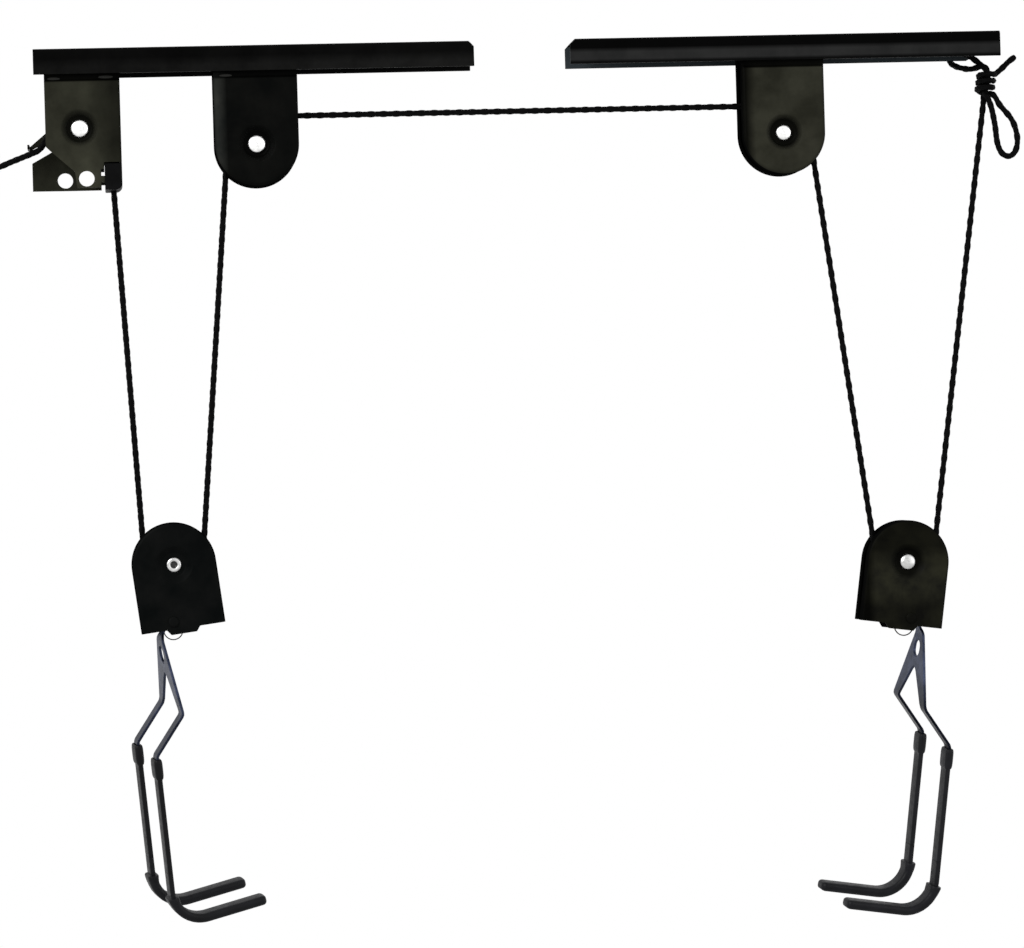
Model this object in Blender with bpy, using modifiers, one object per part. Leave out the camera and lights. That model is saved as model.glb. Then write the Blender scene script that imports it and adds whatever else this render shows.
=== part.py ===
# Ceiling bicycle lift: two steel ceiling bars, a rope lock, two top pulleys and two
# hook blocks, all worked by one rope. Metres, +Z up, front is -Y.
# The origin is on the ceiling plane, between the bars, in the middle plane of the rope.
import math

import bmesh
import bpy
from mathutils import Matrix, Vector

# Clearances and sheet, and how many sides a turned piece has
gap = 0.0003
rope_gap = 0.0005
sheet = 0.0016
bar_sheet = 0.002
fold_radius = 0.0025
round_steps = 14
sheave_steps = 20

# Ceiling bars
bar_length = 0.344
bar_depth = 0.040
bar_height = 0.020
left_bar_x = -0.366
right_bar_x = 0.054
bar_chamfer = 0.005
flange_chamfer = 0.022
flange_chamfer_height = 0.011
screw_slot_width = 0.008
screw_slot_length = 0.020
screw_slot_near = 0.040
screw_slot_past_pulley = 0.060

# Rope
rope_radius = 0.0024
rope_lead = 0.0008
lock_wrap_end = 170
pull_rope_loop_radius = 0.0125

# Sheaves and their axles
pitch_radius = 0.0225
sheave_rim_radius = 0.0255
sheave_rim_width = 0.012
sheave_web_width = 0.006
hub_radius = 0.009
hub_width = 0.019
axle_radius = 0.004
axle_head_radius = 0.007
axle_head_height = 0.0028
axle_tail_radius = 0.0058
axle_tail_height = 0.0016
axle_tail_hole_radius = 0.0025
axle_tail_hole_depth = 0.006

# Stamped half shells of the pulley brackets and blocks
shell_radius = 0.033
shell_flange = 0.0085
bracket_clearance = 0.001
bracket_depth = bar_depth - 2 * (bar_sheet + bracket_clearance)
block_depth = 0.030
block_drop = 0.050
tongue_width = 0.026
tongue_drop = 0.004
dish_radius = 0.014
dish_floor_radius = 0.0095

# Places of the sheave axles, as (x, z)
lock_axle = (-0.3315, -0.062)
left_pulley_axle = (-0.194, -0.077)
right_pulley_axle = (0.223, -0.077)
left_block_axle = (-0.2683, -0.404)
right_block_axle = (0.3125, -0.420)
left_block_tilt = math.radians(-7.0)
right_block_tilt = math.radians(8.0)

# Lock bracket, measured from its axle
lock_left = 0.0265
lock_right = 0.032
lock_bottom = 0.0465
foot_left = 0.038
foot_top = 0.0245
foot_right = 0.0135
chamfer_start = (-0.0235, -0.0170)
chamfer_end = (-0.0045, -0.0340)
chamfer_foot_x = -0.003
slot_top = 0.0055
slot_width = 0.0092
slot_inner_x = -0.0205
ear_radius = 0.0016
eye_radius = 0.006
left_eye = (-0.0125, -0.0385)
right_eye = (0.0045, -0.0395)

# Rope guide at the lock bracket's lower right corner
guide_left = 0.0185
guide_top = 0.0280
guide_bottom = 0.0485
guide_corner = 0.005
guide_hole_radius = 0.0031
tab_height = 0.005
tab_drop = 0.0400

# Bracket rivets
rivet_radius = 0.0025
rivet_head_radius = 0.0045
rivet_tail_height = 0.002
rivet_spacing = 0.030

# Hook pin and its split ring, measured from the block's axle
pin_offset = 0.007
pin_drop = 0.044
pin_radius = 0.0025
pin_head_radius = 0.0042
pin_head_height = 0.0014
pin_overhang = 0.0035
ring_radius = 0.0075
ring_wire_radius = 0.0006
ring_steps = 14

# Hook: a forked steel strip bent in a zigzag and a J
hook_sheet = 0.0022
hook_arm_width = 0.010
hook_arm_spacing = 0.0566
hook_eye_radius = 0.0050
hook_eye_width = 0.008
hook_neck = (-0.0110, -0.0125)
hook_neck_width = 0.014
hook_bend_out = (-0.0017, -0.0683)
hook_bend_in = (-0.0231, -0.1002)
hook_corner = (-0.0090, -0.2368)
hook_tip = (0.0624, -0.2220)
hook_corner_radius = 0.024
hook_bend_radius = 0.005
hook_crotch = -0.0400
hook_slot_top = -0.0190
hook_slot_bottom = -0.0320
hook_slot_width = 0.011
left_hook_yaw = math.radians(14.8)
left_hook_tilt = math.radians(8.7)
left_hook_swing = math.radians(-1.2)
right_hook_yaw = math.radians(10.5)
right_hook_tilt = math.radians(9.5)
right_hook_swing = math.radians(-2.0)

# Sleeves on the hook's arms
sleeve_wall = 0.0006
collar_wall = 0.0020
collar_length = 0.016
grip_wall = 0.0019
cuff_wall = 0.0028
cuff_length = 0.006
grip_end = 0.0025
grip_before_corner = 0.030

# Knot of the rope's fixed end, at the right bar
knot_from_bar_end = 0.0087
knot_centre = (right_bar_x + bar_length - knot_from_bar_end, -0.0400)
knot_turns = 3
knot_lead = 0.0085
loop_steps = 24
knot_strand_offset = 0.00265
knot_width = 0.0059
knot_depth = 0.0087
anchor_hole_radius = 0.0045
anchor_from_bar_end = 0.032
anchor_x = right_bar_x + bar_length - anchor_from_bar_end
anchor_z = -0.0115

# Pull rope and its hand loop
pull_exit = (-0.0358, -0.0170)
pull_slope = math.radians(21.0)
pull_knot_start = 0.036
pull_run_to_loop = 0.056
pull_loop_length = 0.040
pull_whip_turns = 3

lift = bpy.data.collections.new("ceiling_bike_lift")
cutters = bpy.data.collections.new("cutters")


def clear_scene():
    for old in list(bpy.data.objects):
        bpy.data.objects.remove(old, do_unlink=True)
    for collection in (lift, cutters):
        bpy.context.scene.collection.children.link(collection)
    cutters.hide_render = True


def finish(name, color, roughness, metallic):
    material = bpy.data.materials.new(name)
    material.use_nodes = True
    shader = material.node_tree.nodes["Principled BSDF"]
    shader.inputs["Base Color"].default_value = (*color, 1.0)
    shader.inputs["Roughness"].default_value = roughness
    shader.inputs["Metallic"].default_value = metallic
    material.diffuse_color = (*color, 1.0)
    return material


def mesh_object(name, mesh, parent=None):
    made = bpy.data.objects.new(name, mesh)
    lift.objects.link(made)
    made.parent = parent
    return made


def holder(name, x, z, rotation=(0.0, 0.0, 0.0), parent=None):
    made = bpy.data.objects.new(name, None)
    lift.objects.link(made)
    made.parent = parent
    made.location = (x, 0.0, z)
    made.rotation_euler = rotation
    return made


def as_mesh(source, name, parent=None):
    """A curve object's shape as a closed mesh object, in its place."""
    bpy.context.view_layer.update()
    graph = bpy.context.evaluated_depsgraph_get()
    mesh = bpy.data.meshes.new_from_object(source.evaluated_get(graph))
    mesh.transform(source.matrix_world)
    bm = bmesh.new()
    bm.from_mesh(mesh)
    bmesh.ops.remove_doubles(bm, verts=bm.verts, dist=0.00001)
    bmesh.ops.recalc_face_normals(bm, faces=bm.faces)
    bm.to_mesh(mesh)
    bm.free()
    bpy.data.objects.remove(source, do_unlink=True)
    return mesh_object(name, mesh, parent)


def prism(name, loops, low, high, parent=None):
    """Outlines in X and Z, the first with the others as holes, between two Y."""
    curve = bpy.data.curves.new(name, "CURVE")
    curve.dimensions = "2D"
    curve.fill_mode = "BOTH"
    curve.extrude = (high - low) / 2
    for loop in loops:
        spline = curve.splines.new("POLY")
        spline.points.add(len(loop) - 1)
        for point, (x, z) in zip(spline.points, loop):
            point.co = (x, z, 0.0, 1.0)
        spline.use_cyclic_u = True
    source = bpy.data.objects.new(name + "_outline", curve)
    lift.objects.link(source)
    source.rotation_euler = (math.pi / 2, 0.0, 0.0)
    source.location = (0.0, (low + high) / 2, 0.0)
    return as_mesh(source, name, parent)


def beam(name, loop, low, high):
    """An outline in Y and Z, between two X."""
    made = prism(name, [loop], low, high)
    made.data.transform(Matrix(((0, 1, 0, 0), (1, 0, 0, 0), (0, 0, 1, 0), (0, 0, 0, 1))))
    made.data.flip_normals()
    return made


def slab(name, loops, low, high, parent=None):
    """Outlines in X and Y, between two Z."""
    made = prism(name, loops, -high, -low, parent)
    made.data.transform(Matrix.Rotation(-math.pi / 2, 4, "X"))
    return made


def turned(name, profile, x=0.0, z=0.0, steps=round_steps, parent=None):
    """A profile of (radius, depth) turned about the Y axis; depth grows to the front."""
    mesh = bpy.data.meshes.new(name)
    bm = bmesh.new()
    points = [bm.verts.new((radius, 0.0, depth)) for radius, depth in profile]
    for first, second in zip(points, points[1:]):
        bm.edges.new((first, second))
    if profile[0][0] > 0.0:
        bm.edges.new((points[-1], points[0]))
    bm.to_mesh(mesh)
    bm.free()
    made = mesh_object(name, mesh, parent)
    made.location = (x, 0.0, z)
    made.rotation_euler = (math.pi / 2, 0.0, 0.0)
    screw = made.modifiers.new("turn", "SCREW")
    screw.steps = steps
    screw.render_steps = steps
    screw.use_merge_vertices = True
    screw.merge_threshold = 0.00001
    screw.use_smooth_shade = True
    return made


def tube(name, points, radius, resolution=2, parent=None):
    """A round bar or rope through (x, y, z) points."""
    curve = bpy.data.curves.new(name, "CURVE")
    curve.dimensions = "3D"
    curve.bevel_depth = radius
    curve.bevel_resolution = resolution
    curve.use_fill_caps = True
    spline = curve.splines.new("POLY")
    spline.points.add(len(points) - 1)
    for point, place in zip(spline.points, points):
        point.co = (*place, 1.0)
    made = bpy.data.objects.new(name, curve)
    lift.objects.link(made)
    made.parent = parent
    return made


def as_cutter(tool):
    lift.objects.unlink(tool)
    cutters.objects.link(tool)
    tool.hide_render = True
    tool.display_type = "WIRE"
    return tool


def combine(target, tool, operation):
    step = target.modifiers.new(tool.name, "BOOLEAN")
    step.operation = operation
    step.solver = "EXACT"
    step.object = as_cutter(tool)


def cut(target, tool):
    combine(target, tool, "DIFFERENCE")


def join(target, tool):
    combine(target, tool, "UNION")


def dress(made, material, smooth=True):
    made.data.materials.append(material)
    if smooth and made.type == "MESH":
        made.data.shade_smooth()
        made.data.set_sharp_from_angle(angle=math.radians(35))
    return made


def arc(x, z, radius, start, end, count):
    """Points on a circle, from one angle to another in degrees."""
    turns = [math.radians(start + (end - start) * i / count) for i in range(count + 1)]
    return [(x + radius * math.cos(a), z + radius * math.sin(a)) for a in turns]


def circle(x, z, radius, count=16):
    return arc(x, z, radius, 0, 360, count)[:-1]


def box_loop(x0, x1, z0, z1):
    return [(x0, z0), (x1, z0), (x1, z1), (x0, z1)]


def slot_loop(x, z, length, width, count=6):
    """A slot with round ends, long in x."""
    reach = (length - width) / 2
    return arc(x + reach, z, width / 2, -90, 90, count) + arc(x - reach, z, width / 2, 90, 270, count)


def rounded(points, radii, count=5):
    """An open path with each inner corner turned by its own radius."""
    path = [points[0]]
    for before, here, after, radius in zip(points, points[1:], points[2:], radii):
        corner = Vector(here)
        back = (Vector(before) - corner).normalized()
        onward = (Vector(after) - corner).normalized()
        half = back.angle(onward) / 2
        start = corner + back * (radius / math.tan(half))
        end = corner + onward * (radius / math.tan(half))
        centre = corner + (back + onward).normalized() * (radius / math.sin(half))
        for i in range(count + 1):
            blend = start.lerp(end, i / count) - centre
            path.append(tuple(centre + blend.normalized() * radius))
    path.append(points[-1])
    return path


def closed_rounded(points, radii, count=4):
    """A closed outline with its corners turned by their radii."""
    loop = rounded([points[-1], *points, points[0]], radii, count)
    return loop[1:-1]


def stretch(path, start, end):
    """The part of a path between two distances along it."""
    part, run = [], 0.0
    for first, second in zip(path, path[1:]):
        first, second = Vector(first), Vector(second)
        length = (second - first).length
        for place in (start, end):
            if run <= place < run + length:
                part.append(tuple(first.lerp(second, (place - run) / length)))
        if start < run + length < end:
            part.append(tuple(second))
        run += length
    return part


def path_length(path):
    return sum((Vector(b) - Vector(a)).length for a, b in zip(path, path[1:]))


def thickened(path, thickness):
    """The closed outline of a strip of this thickness along a path."""
    left, right = [], []
    for i, here in enumerate(path):
        before = Vector(path[max(i - 1, 0)])
        after = Vector(path[min(i + 1, len(path) - 1)])
        along = (after - before).normalized()
        side = Vector((-along.y, along.x)) * thickness / 2
        left.append(tuple(Vector(here) + side))
        right.append(tuple(Vector(here) - side))
    return left + right[::-1]


def bezier(p0, p1, p2, p3, count):
    points = []
    for i in range(count + 1):
        t = i / count
        s = 1 - t
        blend = s**3 * Vector(p0) + 3 * s * s * t * Vector(p1) + 3 * s * t * t * Vector(p2) + t**3 * Vector(p3)
        points.append(tuple(blend))
    return points


def smooth_through(points, steps):
    """A smooth curve through hand-placed points."""
    ends = [points[0], *points, points[-1]]
    path = []
    for a, b, c, d in zip(ends, ends[1:], ends[2:], ends[3:]):
        a, b, c, d = Vector(a), Vector(b), Vector(c), Vector(d)
        path += bezier(b, b + (c - a) / 6, c - (d - b) / 6, c, steps)[:-1]
    path.append(tuple(points[-1]))
    return path


def flat_path(points, y=0.0):
    return [(x, y, z) for x, z in points]


def tangent(top, top_radius, top_side, bottom, bottom_side):
    """The rope line from a top sheave or point to a block's sheave: its two ends."""
    span = Vector(bottom) - Vector(top)
    u = span.normalized()
    v = Vector((-u.y, u.x))
    lean = (top_side * top_radius - bottom_side * pitch_radius) / span.length
    normal = u * lean + v * math.sqrt(1 - lean * lean)
    return (
        Vector(top) + normal * top_side * top_radius,
        Vector(bottom) + normal * bottom_side * pitch_radius,
    )


def angle_of(point, centre):
    away = Vector(point) - Vector(centre)
    return math.degrees(math.atan2(away.y, away.x))


def trimmed(start, end, cut_start, cut_end):
    along = (Vector(end) - Vector(start)).normalized()
    return [tuple(Vector(start) + along * cut_start), tuple(Vector(end) - along * cut_end)]


def line_at(start, end, z):
    share = (z - start[1]) / (end[1] - start[1])
    return (start[0] + (end[0] - start[0]) * share, z)


black_steel = finish("black_steel", (0.022, 0.023, 0.022), 0.42, 0.0)
black_plastic = finish("black_plastic", (0.03, 0.03, 0.03), 0.5, 0.0)
zinc_steel = finish("zinc_steel", (0.75, 0.75, 0.74), 0.3, 1.0)
hook_steel = finish("hook_steel", (0.24, 0.25, 0.29), 0.4, 0.9)
sleeve_vinyl = finish("sleeve_vinyl", (0.02, 0.02, 0.022), 0.45, 0.0)
rope_fibre = finish("rope_fibre", (0.012, 0.012, 0.012), 0.85, 0.0)

# Rope lines between the sheaves, each as (top end, bottom end)
knot_lean = math.atan2(
    knot_centre[0] - right_block_axle[0] - pitch_radius, knot_centre[1] - right_block_axle[1]
)
knot_up = Vector((math.sin(knot_lean), math.cos(knot_lean)))
knot_half = knot_turns * (rope_radius * 2 + rope_gap) / 2
knot_foot = Vector(knot_centre) - knot_up * (knot_half + knot_lead)
lock_line = tangent(lock_axle, pitch_radius, 1, left_block_axle, -1)
left_line = tangent(left_pulley_axle, pitch_radius, -1, left_block_axle, 1)
right_line = tangent(right_pulley_axle, pitch_radius, 1, right_block_axle, -1)
tie_line = tangent(knot_foot, 0.0, 1, right_block_axle, 1)


def build_bar(name, left_end, slot_places, outer_side, anchor=None):
    """A channel with its web on the ceiling. outer_side is -1 or 1, the end away from the other bar."""
    half = bar_depth / 2
    inner = half - bar_sheet
    outer_corners = [(-half, -bar_height), (-half, 0.0), (half, 0.0), (half, -bar_height)]
    inner_corners = [(inner, -bar_height), (inner, -bar_sheet), (-inner, -bar_sheet), (-inner, -bar_height)]
    outer_loop = rounded(outer_corners, [fold_radius] * 2)
    inner_loop = rounded(inner_corners, [fold_radius - bar_sheet / 2] * 2)
    made = beam(name, outer_loop + inner_loop, left_end, left_end + bar_length)
    for i, x in enumerate(slot_places):
        slot = slab(
            f"{name}_slot_{i}", [slot_loop(x, 0.0, screw_slot_length, screw_slot_width)], -0.01, 0.01
        )
        cut(made, slot)
    inner_end = left_end if outer_side > 0 else left_end + bar_length
    reach = bar_chamfer * outer_side
    corner = [(inner_end - reach, 0.001), (inner_end + reach, 0.001), (inner_end - reach, -2 * bar_chamfer)]
    cut(made, prism(name + "_corner", [corner], -half - 0.001, half + 0.001))
    outer_end = left_end + bar_length if outer_side > 0 else left_end
    toe = [
        (outer_end + 0.002 * outer_side, -bar_height - 0.001),
        (outer_end - flange_chamfer * outer_side, -bar_height - 0.001),
        (outer_end + 0.002 * outer_side, -bar_height + flange_chamfer_height),
    ]
    cut(made, prism(name + "_toe", [toe], inner - 0.001, half + 0.001))
    if anchor:
        cut(made, prism(name + "_anchor", [circle(*anchor, anchor_hole_radius)], inner - 0.002, half + 0.002))
    return dress(made, black_steel)


def build_sheave(name, axle, parent=None):
    root = pitch_radius - rope_radius - gap
    rim, web, hub = sheave_rim_width / 2, sheave_web_width / 2, hub_width / 2
    bore = axle_radius + gap
    side = [
        (hub_radius, hub),
        (hub_radius + 0.0005, web),
        (root - 0.0025, web),
        (root - 0.0015, rim),
        (sheave_rim_radius, rim),
        (root, rope_radius * 0.6),
    ]
    profile = [(bore, hub), *side]
    profile += [(radius, -depth) for radius, depth in reversed(side)]
    profile += [(bore, -hub)]
    made = turned(name, profile, *axle, steps=sheave_steps, parent=parent)
    return dress(made, black_plastic)


def build_axle(name, axle, floor, head_radius=axle_head_radius, front=True, parent=None):
    """A semi-tubular rivet. floor is the outer face of the dish's floor, as a distance from the middle plane."""
    seat = floor + gap
    tail = -seat - axle_tail_height
    profile = [
        (0.0, seat + axle_head_height),
        (head_radius * 0.55, seat + axle_head_height * 0.8),
        (head_radius * 0.88, seat + axle_head_height * 0.45),
        (head_radius, seat),
        (axle_radius, seat),
        (axle_radius, -seat),
        (axle_tail_radius, -seat),
        (axle_tail_radius - 0.0006, tail),
        (axle_tail_hole_radius + 0.0006, tail),
        (axle_tail_hole_radius, tail + axle_tail_hole_depth),
        (0.0, tail + axle_tail_hole_depth + 0.001),
    ]
    made = turned(name, profile, *axle, parent=parent)
    if not front:
        made.rotation_euler = (-math.pi / 2, 0.0, 0.0)
    return dress(made, zinc_steel)


def add_dish(made, half, side, parent=None):
    """Presses a dish round the axle's hole, about (0, 0), in a plate with its outer face at half.
    Its floor bears on the sheave's hub. side is -1 for the front plate."""
    floor = hub_width / 2 + gap
    slope = (dish_radius - dish_floor_radius) / (half - floor - sheet)
    boss = [
        (0.0, half - sheet / 2),
        (dish_radius + sheet, half - sheet / 2),
        (dish_radius + sheet, half - sheet - slope * 0.0002),
        (dish_floor_radius + sheet / 2, floor),
        (0.0, floor),
    ]
    recess = [
        (0.0, half + 0.001),
        (dish_radius + slope * 0.001, half + 0.001),
        (dish_floor_radius, floor + sheet),
        (axle_radius + gap, floor + sheet),
        (axle_radius + gap, floor - 0.001),
        (0.0, floor - 0.001),
    ]
    for kind, profile, apply in (("boss", boss, join), ("recess", recess, cut)):
        tool = turned(f"{made.name}_{kind}", profile, steps=round_steps, parent=parent)
        if side > 0:
            tool.rotation_euler = (-math.pi / 2, 0.0, 0.0)
        apply(made, tool)


def arch_outline(radius, reach, flip):
    """An arch of this radius about (0, 0) with straight sides this long. flip is 1 with the arch up."""
    arch = arc(0.0, 0.0, radius, 180, 0, 16)
    loop = [(-radius, -reach), *arch, (radius, -reach)]
    return [(x, z * flip) for x, z in loop]


def rim_rounded(made, face):
    """Rounds the rim of a stamped shell's face, where it turns into the flange."""
    bm = bmesh.new()
    bm.from_mesh(made.data)
    bmesh.ops.dissolve_limit(bm, angle_limit=0.001, verts=bm.verts, edges=bm.edges)
    rim = [edge for edge in bm.edges if all(abs(v.co.y - face) < 1e-6 for v in edge.verts)]
    bmesh.ops.bevel(bm, geom=rim, offset=fold_radius, segments=2, profile=0.5, affect="EDGES")
    bmesh.ops.triangulate(bm, faces=[f for f in bm.faces if len(f.verts) > 4])
    bmesh.ops.recalc_face_normals(bm, faces=bm.faces)
    bm.to_mesh(made.data)
    bm.free()


def half_shell(name, side, half, level, flip, tongue, parent=None):
    """One stamped half with its flange, trimmed at a level, hollow behind and with a dished axle seat."""
    face, back = side * half, side * (half - shell_flange)
    made = prism(name, [arch_outline(shell_radius, level + 0.010, flip)], *sorted((face, back)), parent)
    rim_rounded(made, face)
    wide = shell_radius + 0.002
    lip = []
    if tongue:
        foot = tongue_width / 2
        lip = [(-foot, -level), (0.003 - foot, -level - tongue_drop)]
        lip += [(foot - 0.003, -level - tongue_drop), (foot, -level)]
    trim = [(-wide, -level), *lip, (wide, -level), (wide, -level - 0.02), (-wide, -level - 0.02)]
    trim = [(x, z * flip) for x, z in trim]
    deep = sorted((face + side * 0.001, back - side * 0.001))
    cut(made, prism(f"{name}_trim", [trim], *deep, parent))
    inner = arch_outline(shell_radius - sheet, level + 0.015, flip)
    cut(made, prism(f"{name}_hollow", [inner], *sorted((face - side * sheet, back - side * 0.001)), parent))
    add_dish(made, half, side, parent)
    return made


def build_bracket(name, axle):
    """An inverted U of steel sheet with two pressed shells, round at the bottom."""
    half = bracket_depth / 2
    top = -bar_sheet - gap - axle[1]
    shoulder = -bar_height - gap - axle[1]
    frame = holder(f"{name}_place", *axle)
    made = None
    for side in (-1, 1):
        shell = half_shell(f"{name}_shell_{side}", side, half, shoulder, -1, False, frame)
        low, high = sorted((side * (half - 0.0001), side * (half - sheet + 0.0001)))
        wide = shell_radius - 0.004
        ear = box_loop(-wide, wide, shoulder - 0.004, top - 0.00005)
        join(shell, prism(f"{name}_ear_{side}", [ear], low, high, frame))
        if made is None:
            made = shell
            made.name = name
        else:
            join(made, shell)
    wide = shell_radius - 0.005
    web = box_loop(-wide, wide, top - sheet, top)
    join(made, prism(name + "_web", [web], 0.0003 - half, half - 0.0003, frame))
    for i in (-1, 1):
        x = i * rivet_spacing / 2
        hole = slab(f"{name}_rivet_hole_{i}", [circle(x, 0.0, rivet_radius + gap, 12)], top - 0.006, top + 0.002, frame)
        cut(made, hole)
    return dress(made, black_steel)


def build_bracket_rivet(name, x):
    """A countersunk rivet through the bar's web and the bracket's web."""
    under = -bar_sheet - gap - sheet - gap
    profile = [
        (0.0, -0.0002),
        (rivet_head_radius - 0.0004, -0.0002),
        (rivet_radius, -0.0002 - bar_sheet * 0.8),
        (rivet_radius, under),
        (rivet_head_radius, under),
        (rivet_head_radius * 0.8, under - rivet_tail_height * 0.7),
        (0.0, under - rivet_tail_height),
    ]
    made = turned(name, profile, steps=8)
    made.rotation_euler = (0.0, 0.0, 0.0)
    made.location = (x, 0.0, 0.0)
    return dress(made, zinc_steel)


def cut_rivet_seat(bar, name, x):
    """The countersunk hole in the bar's web, a clearance wider than the rivet."""
    profile = [
        (0.0, 0.001),
        (rivet_head_radius + gap + 0.0008, 0.001),
        (rivet_radius + gap, -0.0002 - bar_sheet * 0.8),
        (rivet_radius + gap, -bar_sheet - 0.001),
        (0.0, -bar_sheet - 0.001),
    ]
    tool = turned(name, profile, steps=8)
    tool.rotation_euler = (0.0, 0.0, 0.0)
    tool.location = (x, 0.0, 0.0)
    cut(bar, tool)


def build_lock_bracket():
    """The rope lock's bracket: a chamfered front plate and a rear plate with a slotted foot."""
    x0, z0 = lock_axle
    half = bracket_depth / 2
    web_top = -bar_sheet - gap
    top = web_top - z0
    shoulder = -bar_height - gap - z0
    inset = 0.004
    head = [(lock_right, shoulder), (lock_right - inset, shoulder), (lock_right - inset, top)]
    head += [(inset - lock_left, top), (inset - lock_left, shoulder), (-lock_left, shoulder)]
    tab_top = -tab_drop + tab_height / 2
    tab_low = -tab_drop - tab_height / 2
    notch = [
        (foot_right, -lock_bottom),
        (foot_right, tab_low),
        (guide_left + 0.003, tab_low),
        (guide_left + 0.003, tab_top),
        (foot_right, tab_top),
        (foot_right, -guide_top + gap + 0.0008),
        (lock_right, -guide_top + gap + 0.0008),
    ]
    front = [(-lock_left, chamfer_start[1] + lock_left + chamfer_start[0]), chamfer_start, chamfer_end]
    front += [(chamfer_foot_x, -lock_bottom), *notch, *head]
    slope = Vector((foot_left + slot_inner_x, foot_top - slot_top - slot_width)).normalized()
    across = Vector((-slope.y, slope.x)) * slot_width
    slot_low = Vector((slot_inner_x, -slot_top - slot_width))
    slot_high = slot_low + Vector((across.x, across.y))
    lip = Vector((-foot_left + 0.0015, -foot_top + 0.0018)) + Vector((across.x, across.y))
    slot_end = (slot_low + slot_high) / 2
    start = math.degrees(math.atan2(-across.y, -across.x))
    round_end = arc(slot_end.x, slot_end.y, slot_width / 2, start, start + 180, 6)
    rear = [(-lock_left, -0.0005), tuple(lip + Vector((0.0, 0.0035))), tuple(lip)]
    rear += [*round_end[::-1], (-foot_left, -foot_top), (-foot_left, -lock_bottom), *notch, *head]
    frame = holder("lock_bracket_place", *lock_axle)
    made = None
    for side, outline, eyes in ((-1, front, [right_eye]), (1, rear, [left_eye, right_eye])):
        face = side * half
        low, high = sorted((face, face - side * sheet))
        holes = [circle(*eye, eye_radius, 20) for eye in eyes]
        plate = prism(f"lock_plate_{side}", [outline, *holes], low, high, frame)
        add_dish(plate, half, side, frame)
        if made is None:
            made = plate
            made.name = "lock_bracket"
        else:
            ear_place = (x0 + lip.x + ear_radius, z0 + lip.y + ear_radius + 0.0006)
            ear = prism("lock_ear", [circle(*ear_place, ear_radius, 10)], -0.004, half - sheet / 2)
            join(plate, ear)
            join(made, plate)
    side_wall = box_loop(x0 + lock_right - sheet, x0 + lock_right - 0.0001, z0 - guide_top + 0.002, z0 + 0.030)
    join(made, prism("lock_side", [side_wall], -half + 0.0002, half - 0.0002))
    web = box_loop(x0 - lock_left + 0.0045, x0 + lock_right - 0.0045, web_top - sheet, web_top - 0.00005)
    join(made, prism("lock_web", [web], -half + 0.0003, half - 0.0003))
    middle = x0 + (lock_right - lock_left) / 2
    for i in (-1, 1):
        x = middle + i * rivet_spacing / 2
        cut(made, slab(f"lock_rivet_hole_{i}", [circle(x, 0.0, rivet_radius + gap, 12)], -0.008, 0.001))
    return dress(made, black_steel)


def build_rope_guide():
    """The plastic block that leads the rope down, held by the bracket's two tabs."""
    x0, z0 = lock_axle
    half = bracket_depth / 2
    low_corner = (x0 + lock_right, z0 - guide_bottom)
    outline = [
        (x0 + guide_left, z0 - guide_top),
        (x0 + guide_left, z0 - guide_bottom),
        low_corner,
        (x0 + lock_right, z0 - guide_top),
    ]
    loop = closed_rounded(outline, [0.0008, 0.0008, guide_corner, 0.0008])
    made = prism("lock_rope_guide", [loop], -half - 0.0006, half + 0.0006)
    lower = line_at(*lock_line, z0 - guide_bottom - 0.002)
    upper = line_at(*lock_line, z0 - guide_top + 0.002)
    bore = tube("guide_bore", flat_path([upper, lower]), guide_hole_radius, resolution=3)
    cut(made, as_mesh(bore, "guide_bore_tool"))
    for side in (-1, 1):
        low, high = sorted((side * (half + gap), side * (half - sheet - gap)))
        notch = box_loop(
            x0 + guide_left - 0.001,
            x0 + guide_left + 0.003 + gap,
            z0 - tab_drop - tab_height / 2 - gap,
            z0 - tab_drop + tab_height / 2 + gap,
        )
        cut(made, prism(f"guide_notch_{side}", [notch], low, high))
    return dress(made, black_plastic)


def build_block_shell(name, side, mirror, parent):
    """One stamped half of a hook block, round at the top, with its tongue at the bottom."""
    half = block_depth / 2
    made = half_shell(name, side, half, block_drop, 1, True, parent)
    hole = circle(-pin_offset * mirror, -pin_drop, pin_radius + gap, 12)
    deep = sorted((side * (half + 0.001), side * (half - 0.004)))
    cut(made, prism(f"{name}_pin_hole", [hole], *deep, parent))
    return dress(made, black_steel)


def hook_path(mirror):
    """The middle line of the hook's strip, from its curled eye to its tip, in X and Z."""
    settle = hook_eye_settle()
    ring = arc(0.0, -settle, hook_eye_radius + hook_sheet / 2, -120, 160, 14)
    run = rounded(
        [ring[-1], hook_neck, hook_bend_out, hook_bend_in, hook_corner, hook_tip],
        [0.010, hook_bend_radius, hook_bend_radius, hook_corner_radius],
        count=6,
    )
    path = ring[:-1] + run
    return [(x * mirror, z) for x, z in path]


def hook_eye_settle():
    """How far the loose eye's centre hangs below the pin's, so that its top rests on the pin."""
    free = hook_eye_radius - pin_radius - gap
    sway = hook_eye_width / 2 * math.tan(max(left_hook_yaw, right_hook_yaw))
    dip = hook_eye_width / 2 * math.tan(max(left_hook_tilt, right_hook_tilt))
    return math.sqrt(free * free - sway * sway) - dip


def fork_outline():
    """The fork seen along the strip's thickness, as loops of (across, height)."""
    arm = hook_arm_spacing / 2
    outer, inner = arm + hook_arm_width / 2, arm - hook_arm_width / 2
    neck, eye = hook_neck_width / 2, hook_eye_width / 2
    shoulder = hook_bend_out[1]
    low = hook_corner[1] - 2 * hook_corner_radius
    right = [
        (eye, 0.020),
        (eye, hook_neck[1] + 0.004),
        (neck, hook_neck[1]),
        (outer, shoulder),
        (outer, low),
        (inner, low),
        (inner, shoulder),
        (0.002, hook_crotch),
    ]
    loop = right + [(-x, z) for x, z in reversed(right)]
    middle = (hook_slot_top + hook_slot_bottom) / 2
    slot = slot_loop(middle, 0.0, hook_slot_top - hook_slot_bottom, hook_slot_width)
    return loop, [(z, x) for x, z in slot]


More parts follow.
